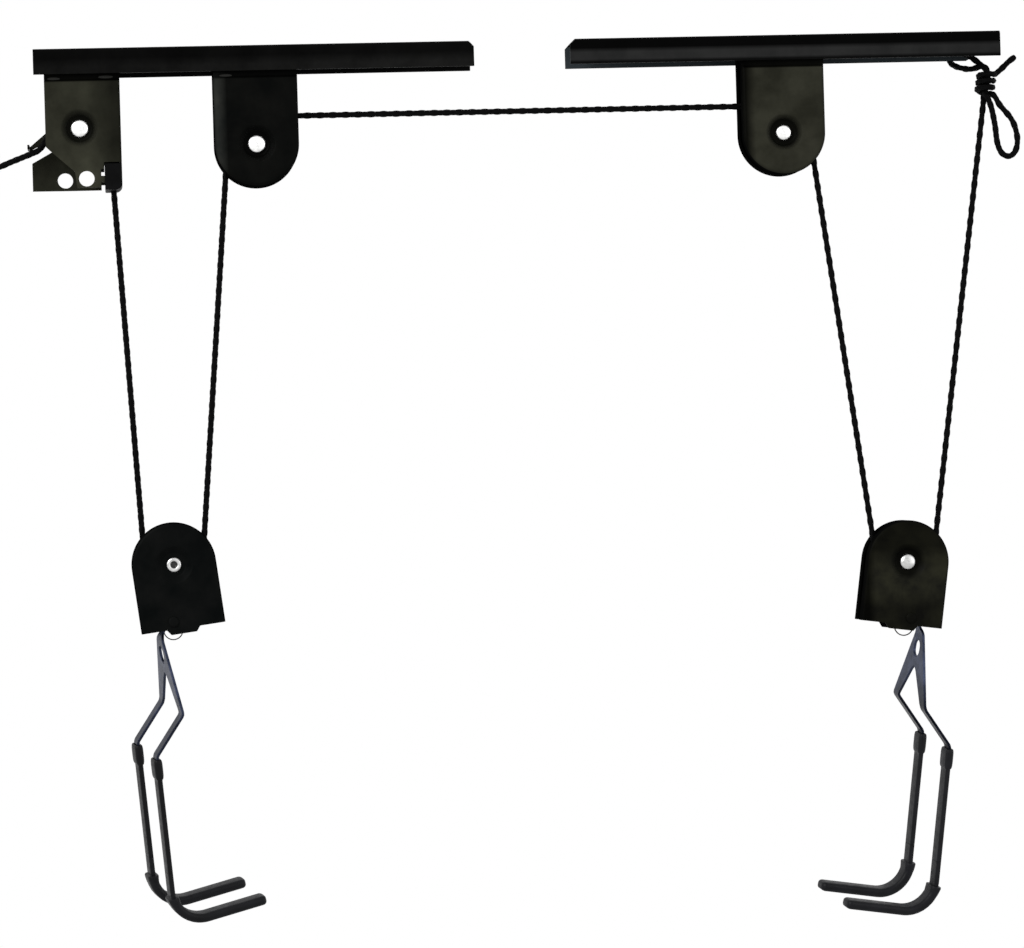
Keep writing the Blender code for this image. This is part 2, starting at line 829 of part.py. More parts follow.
def build_fork(name, mirror, parent):
    path = hook_path(mirror)
    wide = hook_arm_spacing / 2 + hook_arm_width
    made = prism(name, [thickened(path, hook_sheet)], -wide, wide, parent)
    outline, slot = fork_outline()
    mask = prism(name + "_mask", [outline, slot], -0.12, 0.12, parent)
    mask.data.transform(Matrix.Rotation(math.pi / 2, 4, "Z"))
    combine(made, mask, "INTERSECT")
    return dress(made, hook_steel)


def sleeve_body(name, path, start, end, wall, across, parent):
    """A solid strip a wall thicker all round than the hook's arm, between two distances along it."""
    part = stretch(path, start, end)
    over = end - path_length(path)
    if over > 0.0:
        along = (Vector(path[-1]) - Vector(path[-2])).normalized()
        part = stretch(path, start, 10.0) + [tuple(Vector(path[-1]) + along * over)]
    thick = hook_sheet + 2 * (gap + wall)
    half = hook_arm_width / 2 + gap + wall
    body = prism(name, [thickened(part, thick)], across - half, across + half, parent)
    round_edges(body, wall * 0.75)
    return body


def build_sleeve(name, path, start, end, collar, wall, across, closed, parent):
    """A sleeve on one arm, with a thicker collar (length, wall) at its upper end."""
    made = sleeve_body(name, path, start + 0.0004, end + (grip_end if closed else 0.0), wall, across, parent)
    join(made, sleeve_body(f"{name}_collar", path, start, start + collar[0], collar[1], across, parent))
    inside = stretch(path, start - 0.002, end if closed else end + 0.002)
    if closed:
        along = (Vector(path[-1]) - Vector(path[-2])).normalized()
        inside = stretch(path, start - 0.002, 10.0) + [tuple(Vector(path[-1]) + along * gap)]
    half = hook_arm_width / 2 + gap
    core = [thickened(inside, hook_sheet + 2 * gap)]
    cut(made, prism(f"{name}_core", core, across - half, across + half, parent))
    return dress(made, sleeve_vinyl)


def round_edges(made, width):
    soften = made.modifiers.new("soft edges", "BEVEL")
    soften.width = width
    soften.segments = 1
    soften.limit_method = "ANGLE"
    soften.angle_limit = math.radians(50)


def build_hook(side_name, mirror, parent):
    path = hook_path(mirror)
    total = path_length(path)
    build_fork(f"{side_name}_hook_fork", mirror, parent)
    bend = path_length(path_to(path, hook_bend_in[1]))
    corner = total - (Vector(hook_tip) - Vector(hook_corner)).length - grip_before_corner
    for place, across in (("front", -hook_arm_spacing / 2), ("rear", hook_arm_spacing / 2)):
        begin = bend + 0.002
        sleeve = f"{side_name}_hook_{place}_sleeve"
        collar = (collar_length, collar_wall)
        build_sleeve(sleeve, path, begin, corner - gap, collar, sleeve_wall, across, False, parent)
        cuff = (cuff_length, cuff_wall)
        grip = f"{side_name}_hook_{place}_grip"
        build_sleeve(grip, path, corner, total, cuff, grip_wall, across, True, parent)


def path_to(path, z):
    """The path down to a height, leaving out its eye."""
    kept = path[:1]
    for i, (before, here) in enumerate(zip(path, path[1:])):
        kept.append(here)
        if i > 16 and here[1] < z:
            break
    return kept


def build_block(side_name, axle, tilt, mirror, yaw, hook_tilt, swing, head_front):
    block = holder(f"{side_name}_block", *axle, rotation=(0.0, tilt, 0.0))
    build_block_shell(f"{side_name}_block_front_shell", -1, mirror, block)
    build_block_shell(f"{side_name}_block_rear_shell", 1, mirror, block)
    floor = hub_width / 2 + gap + sheet
    build_axle(f"{side_name}_block_axle", (0.0, 0.0), floor, 0.0062, head_front, block)
    build_sheave(f"{side_name}_block_sheave", (0.0, 0.0), block)
    half = block_depth / 2 + gap
    pin_place = (-pin_offset * mirror, -pin_drop)
    end = -half - pin_overhang
    profile = [
        (0.0, half + pin_head_height),
        (pin_head_radius * 0.7, half + pin_head_height),
        (pin_head_radius, half + pin_head_height * 0.4),
        (pin_head_radius, half),
        (pin_radius, half),
        (pin_radius, end + 0.0005),
        (pin_radius - 0.0005, end),
        (0.0, end),
    ]
    pin = dress(turned(f"{side_name}_hook_pin", profile, *pin_place, steps=12, parent=block), zinc_steel)
    spot = to_world(axle, tilt, pin_place)
    bore = split_ring(f"{side_name}_ring_bore", spot, ring_wire_radius + gap)
    cut(pin, as_mesh(bore, f"{side_name}_pin_bore"))
    dress(split_ring(f"{side_name}_pin_ring", spot, ring_wire_radius), zinc_steel)
    hook = holder(f"{side_name}_hook", spot[0], spot[2], rotation=(hook_tilt, swing, yaw))
    build_hook(side_name, mirror, hook)
    return block


def split_ring(name, spot, radius):
    """A wire ring that hangs in the pin's cross hole, behind the block."""
    y = block_depth / 2 + gap + pin_overhang / 2
    turns = [2 * math.pi * i / ring_steps for i in range(ring_steps)]
    points = [(ring_radius * math.sin(a), y, ring_radius * (math.cos(a) - 1)) for a in turns]
    ring = tube(name, points, radius, resolution=1)
    ring.data.splines[0].use_cyclic_u = True
    ring.data.use_fill_caps = False
    ring.location = spot
    return ring


def to_world(axle, tilt, place):
    x = place[0] * math.cos(tilt) + place[1] * math.sin(tilt)
    z = -place[0] * math.sin(tilt) + place[1] * math.cos(tilt)
    return (axle[0] + x, 0.0, axle[1] + z)


def wrapped(axle, line_in, begin, end, line_out, count):
    """Rope round part of a sheave, with a short straight lead at each end."""
    points = arc(*axle, pitch_radius, begin, end, count)
    lead_in = trimmed(*line_in, 0.0, rope_lead)[1]
    lead_out = trimmed(*line_out, rope_lead, 0.0)[0]
    return [lead_in, *points, lead_out]


def build_ropes():
    """The held rope, split where it leaves each sheave. Returns where the pull rope starts, and its way."""
    x0, z0 = lock_axle
    free = rope_lead + gap
    split = line_at(*lock_line, z0 - guide_bottom - 0.001)
    start = angle_of(lock_line[0], lock_axle)
    over = arc(x0, z0, pitch_radius, start, lock_wrap_end, 12)
    turn = math.radians(lock_wrap_end)
    leave = Vector((-math.sin(turn), math.cos(turn)))
    exit_point = Vector((x0 + pull_exit[0], z0 + pull_exit[1]))
    out = Vector((-math.cos(pull_slope), -math.sin(pull_slope)))
    last = exit_point - out * rope_lead * 2
    bend = bezier(over[-1], Vector(over[-1]) + leave * 0.011, last - out * 0.007, last, 5)
    left_start = angle_of(left_line[0], left_pulley_axle) % 360
    right_end = angle_of(right_line[0], right_pulley_axle)
    across = arc(*left_pulley_axle, pitch_radius, left_start, 90, 7)
    across += arc(*right_pulley_axle, pitch_radius, 90, right_end, 7)
    pieces = {
        "rope_over_lock": [split, *over, *bend[1:], tuple(exit_point)],
        "rope_over_pulleys": [
            trimmed(*left_line, rope_lead, 0.0)[0],
            *across,
            trimmed(*right_line, rope_lead, 0.0)[0],
        ],
        "rope_lock_fall": trimmed(split, lock_line[1], gap, free),
        "rope_left_fall": trimmed(*left_line, free, free),
        "rope_right_fall": trimmed(*right_line, free, free),
        "rope_tied_fall": trimmed(*tie_line, gap, free),
    }
    for side_name, axle, down, up in (
        ("left", left_block_axle, lock_line, left_line),
        ("right", right_block_axle, right_line, tie_line),
    ):
        begin = angle_of(down[1], axle) % 360
        end = angle_of(up[1], axle) % 360
        if end < begin:
            end += 360
        pieces[f"rope_under_{side_name}_block"] = wrapped(axle, down, begin, end, up[::-1], 12)
    for name, points in pieces.items():
        dress(tube(name, flat_path(points), rope_radius), rope_fibre)
    return exit_point, out


def on_knot(side, y, up):
    """A point of the knot: side is to the right of its axis, up is along it."""
    across = Vector((knot_up.y, -knot_up.x))
    place = Vector(knot_centre) + across * side + knot_up * up
    return (place.x, y, place.y)


def knot_path():
    """The tied end as one rope: up through the knot, through the bar's hole, back down through
    the knot, round the hanging bight, three turns round both strands, and out as the tail."""
    r, strand = rope_radius, knot_strand_offset
    hole = Vector((anchor_x, bar_depth / 2 - bar_sheet / 2, anchor_z))
    near, far = -knot_half, knot_half

    def by_hole(x, y, z):
        return tuple(hole + Vector((x, y, z)) * r)

    def by_knot(x, y, z):
        return (knot_centre[0] + x * r, y, knot_centre[1] + z * r)

    up_to_bar = [
        on_knot(0.0, 0.0, near - knot_lead),
        on_knot(0.0, 0.083 * r, near - knot_lead + 0.625 * r),
        on_knot(0.0, strand * 0.68, near - 1.5 * r),
        on_knot(0.0, strand, near),
        on_knot(0.0, strand, far * 0.7),
        on_knot(-0.208 * r, strand + 0.667 * r, far + 1.667 * r),
        by_hole(5.208, -4.583, -2.5),
        by_hole(1.25, -2.292, -0.333),
        by_hole(0.083, -0.417, 0.0),
    ]
    back_down = [
        by_hole(-0.333, 1.417, -0.417),
        by_hole(-0.417, 2.083, -2.333),
        by_hole(0.417, 1.25, -4.375),
        by_hole(2.083, -1.25, -5.75),
        by_hole(5.208, -5.0, -6.833),
        on_knot(-1.25 * r, -0.167 * r, far + 2.083 * r),
        on_knot(0.125 * r, -strand, far * 0.8),
        on_knot(0.0, -strand, near),
    ]
    front = -strand - 0.75 * r
    bight = [
        on_knot(0.833 * r, -strand - 0.708 * r, near - 1.5 * r),
        by_knot(1.333, front, -8.333),
        by_knot(2.375, front, -14.167),
        by_knot(3.0, front, -20.0),
        by_knot(4.458, front, -23.542),
        by_knot(6.958, front, -24.583),
        by_knot(9.125, front, -22.708),
        by_knot(9.792, front, -18.333),
        by_knot(8.208, -strand - 0.833 * r, -12.708),
        on_knot(5.208 * r, -strand - 0.833 * r, near - 3.542 * r),
        on_knot(3.583 * r, -strand - 0.708 * r, near - 1.333 * r),
        on_knot(2.667 * r, -1.083 * r, near - 0.292 * r),
    ]
    wraps = []
    pitch = rope_radius * 2 + rope_gap
    for i in range(knot_turns * loop_steps + 1):
        turn = 2 * math.pi * i / loop_steps
        side = knot_width * math.cos(turn)
        wraps.append(on_knot(side, knot_depth * math.sin(turn), pitch * i / loop_steps - knot_half))
    tail = [
        on_knot(knot_width + 0.75 * r, 1.333 * r, far + 0.333 * r),
        by_knot(5.917, 2.292 * r, 4.792),
        by_knot(8.417, 2.5 * r, 7.083),
        by_knot(10.917, 2.5 * r, 8.958),
    ]
    down = smooth_through(up_to_bar + back_down + bight + wraps[:1], 2)
    out = smooth_through([wraps[-1]] + tail, 2)
    return down[:-1] + wraps + out[1:]


def least_gap(path, radius):
    """The smallest clear distance between parts of one tube that aren't neighbours."""
    least = 1.0
    runs = [0.0]
    for a, b in zip(path, path[1:]):
        runs.append(runs[-1] + (Vector(b) - Vector(a)).length)
    for i, first in enumerate(path):
        for j in range(i + 1, len(path)):
            if runs[j] - runs[i] > math.pi * 1.1 * 2 * radius:
                least = min(least, (Vector(first) - Vector(path[j])).length - 2 * radius)
    return least


def build_pull_rope(exit_point, out):
    """The pull end runs straight out of the lock to a hand loop, whipped with rope."""
    up = Vector((-out.y, out.x))
    if up.y < 0:
        up = -up
    side = rope_radius + rope_gap / 2 + 0.0001

    def at(along, over):
        place = Vector(exit_point) + out * along + up * over
        return (place.x, 0.0, place.y)

    straight = [at(gap / 2 + (pull_knot_start - 0.006) * i / 3, 0.0) for i in range(4)]
    through = [at(pull_knot_start, side * 0.8), at(pull_knot_start + 0.008, side), at(pull_run_to_loop, side)]
    far = pull_run_to_loop + pull_loop_length
    radius = pull_rope_loop_radius
    bow = [at(far - 0.028, side + 0.0035), at(far - 0.018, radius * 0.85)]
    turn = []
    for i in range(7):
        a = math.pi / 2 - math.pi * i / 6
        turn.append(at(far - radius + radius * math.cos(a), radius * math.sin(a)))
    back = [at(far - 0.018, -radius * 0.85), at(far - 0.028, -side - 0.0035)]
    home = [at(pull_run_to_loop, -side), at(pull_knot_start + 0.008, -side), at(pull_knot_start + 0.003, -side)]
    path = smooth_through(straight + through + bow + turn + back + home, 2)
    dress(tube("pull_rope", path, rope_radius), rope_fibre)
    wraps = []
    steps = loop_steps
    pitch = rope_radius * 2 + rope_gap
    wide = 2 * rope_radius + side + rope_gap + 0.0008
    deep = 2 * rope_radius + rope_gap + 0.0006
    for i in range(pull_whip_turns * steps + 1):
        a = 2 * math.pi * i / steps
        place = at(pull_knot_start + 0.004 + pitch * i / steps, wide * math.cos(a))
        wraps.append((place[0], deep * math.sin(a), place[2]))
    dress(tube("pull_rope_whipping", wraps, rope_radius, resolution=1), rope_fibre)
    print("pull rope length", round(path_length(path), 4), "least gap of whipping", least_gap(wraps, rope_radius))


def build_all():
    clear_scene()
    left_end = left_bar_x + bar_length
    left_bar = build_bar(
        "left_bar",
        left_bar_x,
        (left_end - screw_slot_near, left_pulley_axle[0] - screw_slot_past_pulley),
        -1,
    )
    right_bar = build_bar(
        "right_bar",
        right_bar_x,
        (right_bar_x + screw_slot_near, right_pulley_axle[0] + screw_slot_past_pulley),
        1,
        (anchor_x, anchor_z),
    )
    build_lock_bracket()
    build_rope_guide()
    floor = hub_width / 2 + gap + sheet
    build_axle("lock_axle", lock_axle, floor)
    build_sheave("lock_sheave", lock_axle)
    for side_name, axle, head in (
        ("left", left_pulley_axle, axle_head_radius),
        ("right", right_pulley_axle, 0.0062),
    ):
        build_bracket(f"{side_name}_pulley_bracket", axle)
        build_axle(f"{side_name}_pulley_axle", axle, floor, head)
        build_sheave(f"{side_name}_pulley_sheave", axle)
    lock_middle = lock_axle[0] + (lock_right - lock_left) / 2
    for name, bar, middle in (
        ("lock_bracket", left_bar, lock_middle),
        ("left_bracket", left_bar, left_pulley_axle[0]),
        ("right_bracket", right_bar, right_pulley_axle[0]),
    ):
        for i, step in (("a", -0.5), ("b", 0.5)):
            x = middle + step * rivet_spacing
            build_bracket_rivet(f"{name}_rivet_{i}", x)
            cut_rivet_seat(bar, f"{name}_seat_{i}", x)
    build_block(
        "left", left_block_axle, left_block_tilt, 1, left_hook_yaw, left_hook_tilt, left_hook_swing, False
    )
    build_block(
        "right", right_block_axle, right_block_tilt, -1, right_hook_yaw, right_hook_tilt, right_hook_swing, True
    )
    exit_point, out = build_ropes()
    tie = knot_path()
    dress(tube("rope_tie", tie, rope_radius, resolution=1), rope_fibre)
    print("rope tie length", round(path_length(tie), 4), "least gap", round(least_gap(tie, rope_radius), 5))
    build_pull_rope(exit_point, out)


build_all()
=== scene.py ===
import math

import bmesh
import bpy
from mathutils import Euler, Matrix, Vector


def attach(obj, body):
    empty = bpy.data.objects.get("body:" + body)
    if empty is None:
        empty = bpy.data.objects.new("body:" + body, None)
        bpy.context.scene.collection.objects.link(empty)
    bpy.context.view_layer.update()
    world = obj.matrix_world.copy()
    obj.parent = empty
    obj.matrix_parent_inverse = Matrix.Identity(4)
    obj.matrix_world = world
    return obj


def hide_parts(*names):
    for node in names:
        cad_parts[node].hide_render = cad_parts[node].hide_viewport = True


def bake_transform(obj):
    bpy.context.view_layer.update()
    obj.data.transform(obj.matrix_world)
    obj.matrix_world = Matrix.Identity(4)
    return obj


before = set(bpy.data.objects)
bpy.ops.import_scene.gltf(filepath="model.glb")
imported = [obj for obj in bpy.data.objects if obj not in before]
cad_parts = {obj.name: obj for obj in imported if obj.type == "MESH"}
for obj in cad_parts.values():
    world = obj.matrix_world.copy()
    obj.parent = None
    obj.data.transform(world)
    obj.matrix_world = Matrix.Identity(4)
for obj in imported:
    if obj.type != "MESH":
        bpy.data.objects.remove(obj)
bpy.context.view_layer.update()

scene = bpy.context.scene


def adjusted(item, **settings):
    # Sets several attributes of a thing and gives it back
    for name, value in settings.items():
        setattr(item, name, value)
    return item


def linked(name, data):
    piece = bpy.data.objects.new(name, data)
    scene.collection.objects.link(piece)
    return piece


# The camera that fits the photograph: level, a little to the left and turned a little
view = {
    "width": 1024,
    "distance": 3.2,
    "toTheLeft": math.radians(5.5),
    "roll": math.radians(1.7),
    "lookAt": Vector((0.0, 0.0, -0.341)),
    "focalPixels": 4050.6,
    "sensor": 36.0,
}


def makeCamera():
    side = view["toTheLeft"]
    back = Vector((-math.sin(side), -math.cos(side), 0.0))
    right = Vector((math.cos(side), -math.sin(side), 0.0))
    up = Vector((0.0, 0.0, 1.0))
    turnedRight = right * math.cos(view["roll"]) - up * math.sin(view["roll"])
    turnedUp = right * math.sin(view["roll"]) + up * math.cos(view["roll"])
    place = view["lookAt"] + back * view["distance"]
    data = adjusted(
        bpy.data.cameras.new("photoCamera"),
        sensor_fit="HORIZONTAL",
        sensor_width=view["sensor"],
        lens=view["focalPixels"] / view["width"] * view["sensor"],
        clip_end=50.0,
    )
    turn = Matrix((turnedRight, turnedUp, back)).transposed().to_4x4()
    scene.camera = adjusted(linked("photoCamera", data), matrix_world=Matrix.Translation(place) @ turn)


makeCamera()
print("camera ready")

# Measures that several pieces share, in metres
fit = {
    "gap": 0.0003,
    "ropeGap": 0.0005,
    "sheet": 0.0016,
    "barSheet": 0.002,
    "axleRadius": 0.004,
    "hubWidth": 0.019,
    "bracketDepth": 0.034,
    "lockLeft": 0.0265,
    "lockRight": 0.032,
    "blockDepth": 0.030,
}
seatDepth = fit["hubWidth"] / 2 + fit["gap"] + fit["sheet"]
tiny = 1e-6  # places nearer to each other than this are the same


def addNode(tree, kind, inputs=None, **settings):
    node = adjusted(tree.nodes.new(kind), **settings)
    for name, value in (inputs or {}).items():
        node.inputs[name].default_value = value
    return node


def wire(tree, source, target):
    tree.links.new(source, target)


def newFinish(name, roughness, metallic, specular=0.5):
    material = adjusted(bpy.data.materials.new(name), use_nodes=True)
    shader = material.node_tree.nodes["Principled BSDF"]
    for key, value in (("Roughness", roughness), ("Metallic", metallic), ("Specular IOR Level", specular)):
        shader.inputs[key].default_value = value
    return material, material.node_tree, shader


def patternPlace(tree, centre=(0.0, 0.0, 0.0), scale=(1.0, 1.0, 1.0)):
    # Object coordinates, moved to a centre and scaled
    coords = addNode(tree, "ShaderNodeTexCoord")
    values = {"Location": centre, "Scale": [1.0 / s for s in scale]}
    mapping = addNode(tree, "ShaderNodeMapping", values, vector_type="TEXTURE")
    wire(tree, coords.outputs["Object"], mapping.inputs["Vector"])
    return mapping.outputs["Vector"]


def noise(tree, vector, scale, detail, roughness=0.55):
    node = addNode(tree, "ShaderNodeTexNoise", {"Scale": scale, "Detail": detail, "Roughness": roughness})
    wire(tree, vector, node.inputs["Vector"])
    return node.outputs["Fac"]


def ramp(tree, factor, stops):
    # stops are the two (position, colour) pairs
    node = addNode(tree, "ShaderNodeValToRGB")
    for element, (position, colour) in zip(node.color_ramp.elements, stops):
        adjusted(element, position=position, color=(*colour, 1.0))
    wire(tree, factor, node.inputs["Fac"])
    return node.outputs["Color"]


def spread(tree, factor, low, high, fromLow=0.3, fromHigh=0.7):
    values = {"From Min": fromLow, "From Max": fromHigh, "To Min": low, "To Max": high}
    node = addNode(tree, "ShaderNodeMapRange", values)
    wire(tree, factor, node.inputs["Value"])
    return node.outputs["Result"]


def bump(tree, shader, height, distance, strength, before=None):
    node = addNode(tree, "ShaderNodeBump", {"Distance": distance, "Strength": strength})
    wire(tree, height, node.inputs["Height"])
    if before is not None:
        wire(tree, before, node.inputs["Normal"])
    wire(tree, node.outputs["Normal"], shader.inputs["Normal"])
    return node.outputs["Normal"]


def mathNode(tree, operation, first, second=None):
    node = addNode(tree, "ShaderNodeMath", operation=operation)
    for socket, value in zip(node.inputs, (first, second)):
        if isinstance(value, (int, float)):
            socket.default_value = value
        elif value is not None:
            wire(tree, value, socket)
    return node.outputs["Value"]


def blotches(tree, patches, finish, low, high, shade=1.0):
    # A finish's dark and light colour, blended between two levels of a pattern
    tones = [[channel * shade for channel in finish[key]] for key in ("dark", "light")]
    return ramp(tree, patches, [(low, tones[0]), (high, tones[1])])


def coat(tree, shader, colour, pattern, roughness):
    # The colour, and a roughness that follows a pattern
    wire(tree, colour, shader.inputs["Base Color"])
    wire(tree, spread(tree, pattern, *roughness), shader.inputs["Roughness"])


paint = {
    "patchScale": 38.0,
    "patchDetail": 4.0,
    "orangePeelScale": 1400.0,
    "orangePeelHeight": 0.000030,
    "waveScale": 160.0,
    "waveHeight": 0.00016,
    "roughness": (0.36, 0.50),
    "specular": 0.016,
}


def markBehind(piece, depth, centre, dish):
    # The faces behind this depth, but for the dish, take the second finish, painted shade, and the back faces
    # the third, painted light
    for face in piece.data.polygons:
        away = math.hypot(face.center.x - centre[0], face.center.z - centre[1])
        if face.center.y > 0.0 and face.normal.y > 0.3:
            face.material_index = 2
        elif face.center.y > depth and (away > dish or face.center.y > 0.0):
            face.material_index = 1


def shaded(tree, colour, vector, tones):
    # Each tone is (axis, from, to, shade at from, shade at to), in metres; the tones paint light and shade into
    # the colour
    split = addNode(tree, "ShaderNodeSeparateXYZ")
    wire(tree, vector, split.inputs["Vector"])
    for axis, start, end, first, last in tones:
        along = spread(tree, split.outputs[axis], 0.0, 1.0, start, end)
        tint = ramp(tree, along, [(0.0, [first] * 3), (1.0, [last] * 3)])
        mix = addNode(tree, "ShaderNodeMix", {"Factor": 1.0}, data_type="RGBA", blend_type="MULTIPLY")
        wire(tree, colour, mix.inputs["A"])
        wire(tree, tint, mix.inputs["B"])
        colour = mix.outputs["Result"]
    return colour


def paintFinish(name, dark, light, tones=(), specular=paint["specular"]):
    # Baked black paint, with light and shade painted in, lighter or darker where the tones say
    material, tree, shader = newFinish(name, 0.42, 0.0, specular)
    vector = patternPlace(tree)
    patches = noise(tree, vector, paint["patchScale"], paint["patchDetail"], 0.6)
    colour = shaded(tree, ramp(tree, patches, [(0.34, dark), (0.66, light)]), vector, tones)
    fine = noise(tree, vector, paint["orangePeelScale"], 2.0)
    wide = noise(tree, vector, paint["waveScale"], 2.0)
    coat(tree, shader, colour, patches, paint["roughness"])
    before = bump(tree, shader, wide, paint["waveHeight"], 0.35)
    bump(tree, shader, fine, paint["orangePeelHeight"], 0.6, before)
    return material


zinc = {
    "dark": (0.72, 0.72, 0.71),
    "light": (0.98, 0.98, 0.97),
    "ringScale": 900.0,
    "ringHeight": 0.000012,
    "roughness": (0.24, 0.40),
    # Painted shade: blockShade darkens the block rivets, tailShade the inside of the tail's hole and ringShade
    # the split rings
    "blockShade": 0.62,
    "tailShade": 0.06,
    "ringShade": 0.05,
}


def zincFinish(name, spot=(0.0, 0.0), shade=1.0):
    # Bright plated steel with turned rings about a spot, along Y
    material, tree, shader = newFinish(name, 0.3, 1.0)
    centre = (spot[0], 0.0, spot[1])
    flat = patternPlace(tree, centre, (1.0, 0.0001, 1.0))
    values = {"Scale": zinc["ringScale"] / 6.283, "Distortion": 1.2, "Detail": 2.0}
    rings = addNode(tree, "ShaderNodeTexWave", values, wave_type="RINGS", rings_direction="SPHERICAL")
    wire(tree, flat, rings.inputs["Vector"])
    patches = noise(tree, patternPlace(tree, centre), 420.0, 4.0)
    coat(tree, shader, blotches(tree, patches, zinc, 0.25, 0.55, shade), patches, zinc["roughness"])
    bump(tree, shader, rings.outputs["Fac"], zinc["ringHeight"], 0.5)
    return material


hookSteel = {
    "dark": (0.018, 0.0222, 0.037),
    "light": (0.050, 0.060, 0.102),
    "roughness": (0.34, 0.52),
    "grainHeight": 0.00002,
}


def hookFinish(name, shade, tones=()):
    # Rolled strip with a dull bluish plating, its grain along the strip
    material, tree, shader = newFinish(name, 0.42, 1.0, 0.2)
    vector = patternPlace(tree)
    along = patternPlace(tree, scale=(14.0, 14.0, 1.0))
    patches = noise(tree, vector, 95.0, 5.0, 0.6)
    grain = noise(tree, along, 130.0, 4.0, 0.7)
    colour = shaded(tree, blotches(tree, patches, hookSteel, 0.32, 0.68, shade), vector, tones)
    coat(tree, shader, colour, grain, hookSteel["roughness"])
    bump(tree, shader, grain, hookSteel["grainHeight"], 0.6)
    return material


vinyl = {
    "dark": (0.0036, 0.0037, 0.0044),
    "light": (0.0080, 0.0082, 0.0104),
    "roughness": (0.36, 0.52),
    "specular": 0.12,
}


def vinylFinish(name, shade):
    material, tree, shader = newFinish(name, 0.4, 0.0, vinyl["specular"])
    vector = patternPlace(tree)
    patches = noise(tree, vector, 60.0, 4.0)
    fine = noise(tree, vector, 2200.0, 2.0)
    wide = noise(tree, vector, 260.0, 2.0)
    coat(tree, shader, blotches(tree, patches, vinyl, 0.3, 0.7, shade), wide, vinyl["roughness"])
    before = bump(tree, shader, wide, 0.00012, 0.3)
    bump(tree, shader, fine, 0.00002, 0.5, before)
    return material


plastic = {
    "dark": (0.0022, 0.0022, 0.0023),
    "light": (0.0040, 0.0040, 0.0042),
    "roughness": (0.42, 0.60),
    "specular": 0.03,
}


def plasticFinish(name):
    material, tree, shader = newFinish(name, 0.5, 0.0, plastic["specular"])
    vector = patternPlace(tree)
    patches = noise(tree, vector, 90.0, 3.0)
    fine = noise(tree, vector, 1800.0, 3.0, 0.7)
    coat(tree, shader, blotches(tree, patches, plastic, 0.3, 0.7), fine, plastic["roughness"])
    bump(tree, shader, fine, 0.00003, 0.5)
    return material


rope = {
    "radius": 0.0024,
    "strands": 4,  # in each direction
    "layLength": 0.040,
    "around": 32,
    "step": 0.0006,
    "strandHeight": 0.00110,
    "lift": 0.00042,
    "proud": 0.00015,
    "meltedRun": 0.0015,
    "meltedTip": 0.62,
    "yarns": 7,
    "dark": (0.0007, 0.0007, 0.0008),
    "light": (0.0042, 0.0042, 0.0044),
    "roughness": (0.5, 0.75),
    "specular": 0.03,
}
ropePitch = rope["radius"] * 2 + fit["ropeGap"]  # from one turn round a knot to the next


def ropeFinish():
    # The map is laid in strand counts: across by the turn, along by the lay
    material, tree, shader = newFinish("ropeFibre", 0.62, 0.0, rope["specular"])
    lay = addNode(tree, "ShaderNodeUVMap", uv_map="lay")
    split = addNode(tree, "ShaderNodeSeparateXYZ")
    wire(tree, lay.outputs["UV"], split.inputs["Vector"])
    across, along = split.outputs["X"], split.outputs["Y"]
    left = mathNode(tree, "SUBTRACT", across, along)
    right = mathNode(tree, "ADD", across, along)
    cells = mathNode(tree, "ADD", mathNode(tree, "FLOOR", left), mathNode(tree, "FLOOR", right))
    onTop = mathNode(tree, "PINGPONG", cells, 1.0)
    yarns = []
    for way in (left, right):
        turns = mathNode(tree, "MULTIPLY", way, 2 * math.pi * rope["yarns"])
        yarns.append(mathNode(tree, "ADD", mathNode(tree, "MULTIPLY", mathNode(tree, "SINE", turns), 0.5), 0.5))
    pick = addNode(tree, "ShaderNodeMix", data_type="FLOAT")
    wire(tree, onTop, pick.inputs["Factor"])
    wire(tree, yarns[0], pick.inputs["A"])
    wire(tree, yarns[1], pick.inputs["B"])
    lines = pick.outputs["Result"]
    vector = patternPlace(tree)
    fluff = noise(tree, vector, 2600.0, 3.0, 0.7)
    mixed = mathNode(tree, "MULTIPLY", lines, fluff)
    coat(tree, shader, blotches(tree, mixed, rope, 0.08, 0.55), fluff, rope["roughness"])
    before = bump(tree, shader, lines, 0.00008, 0.8)
    bump(tree, shader, fluff, 0.00003, 0.5, before)
    return material


def arc(x, z, radius, start, end, count):
    turns = [math.radians(start + (end - start) * i / count) for i in range(count + 1)]
    return [(x + radius * math.cos(a), z + radius * math.sin(a)) for a in turns]


def quarter(count):
    # The steps of a quarter turn, without its start
    return [math.pi / 2 * i / count for i in range(1, count + 1)]


def bothWays(*values):
    # The values, nought, and the same values on the other side
    return [*values, 0.0, *(-value for value in reversed(values))]


def ringOutline(x, z, radius, count):
    return arc(x, z, radius, 0, 360, count)[:-1]


def slotOutline(x, z, length, width):
    reach = (length - width) / 2
    return arc(x + reach, z, width / 2, -90, 90, 16) + arc(x - reach, z, width / 2, 90, 270, 16)


def roundedPath(points, radii, count=12):
    # An open path with each inner corner turned by its own radius
    path = [tuple(points[0])]
    for before, here, after, radius in zip(points, points[1:], points[2:], radii):
        corner = Vector(here)
        back = (Vector(before) - corner).normalized()
        onward = (Vector(after) - corner).normalized()
        half = back.angle(onward) / 2
        start = corner + back * (radius / math.tan(half))
        end = corner + onward * (radius / math.tan(half))
        centre = corner + (back + onward).normalized() * (radius / math.sin(half))
        for i in range(count + 1):
            spoke = start.lerp(end, i / count) - centre
            path.append(tuple(centre + spoke.normalized() * radius))
    path.append(tuple(points[-1]))
    return path


def closedRounded(points, radii):
    return roundedPath([points[-1], *points, points[0]], radii, 6)[1:-1]


def addLoop(bm, points):
    # A closed run of edges through (x, y, z) points
    verts = [bm.verts.new(point) for point in points]
    edges = [bm.edges.new(pair) for pair in zip(verts, verts[1:] + verts[:1])]
    return verts, edges


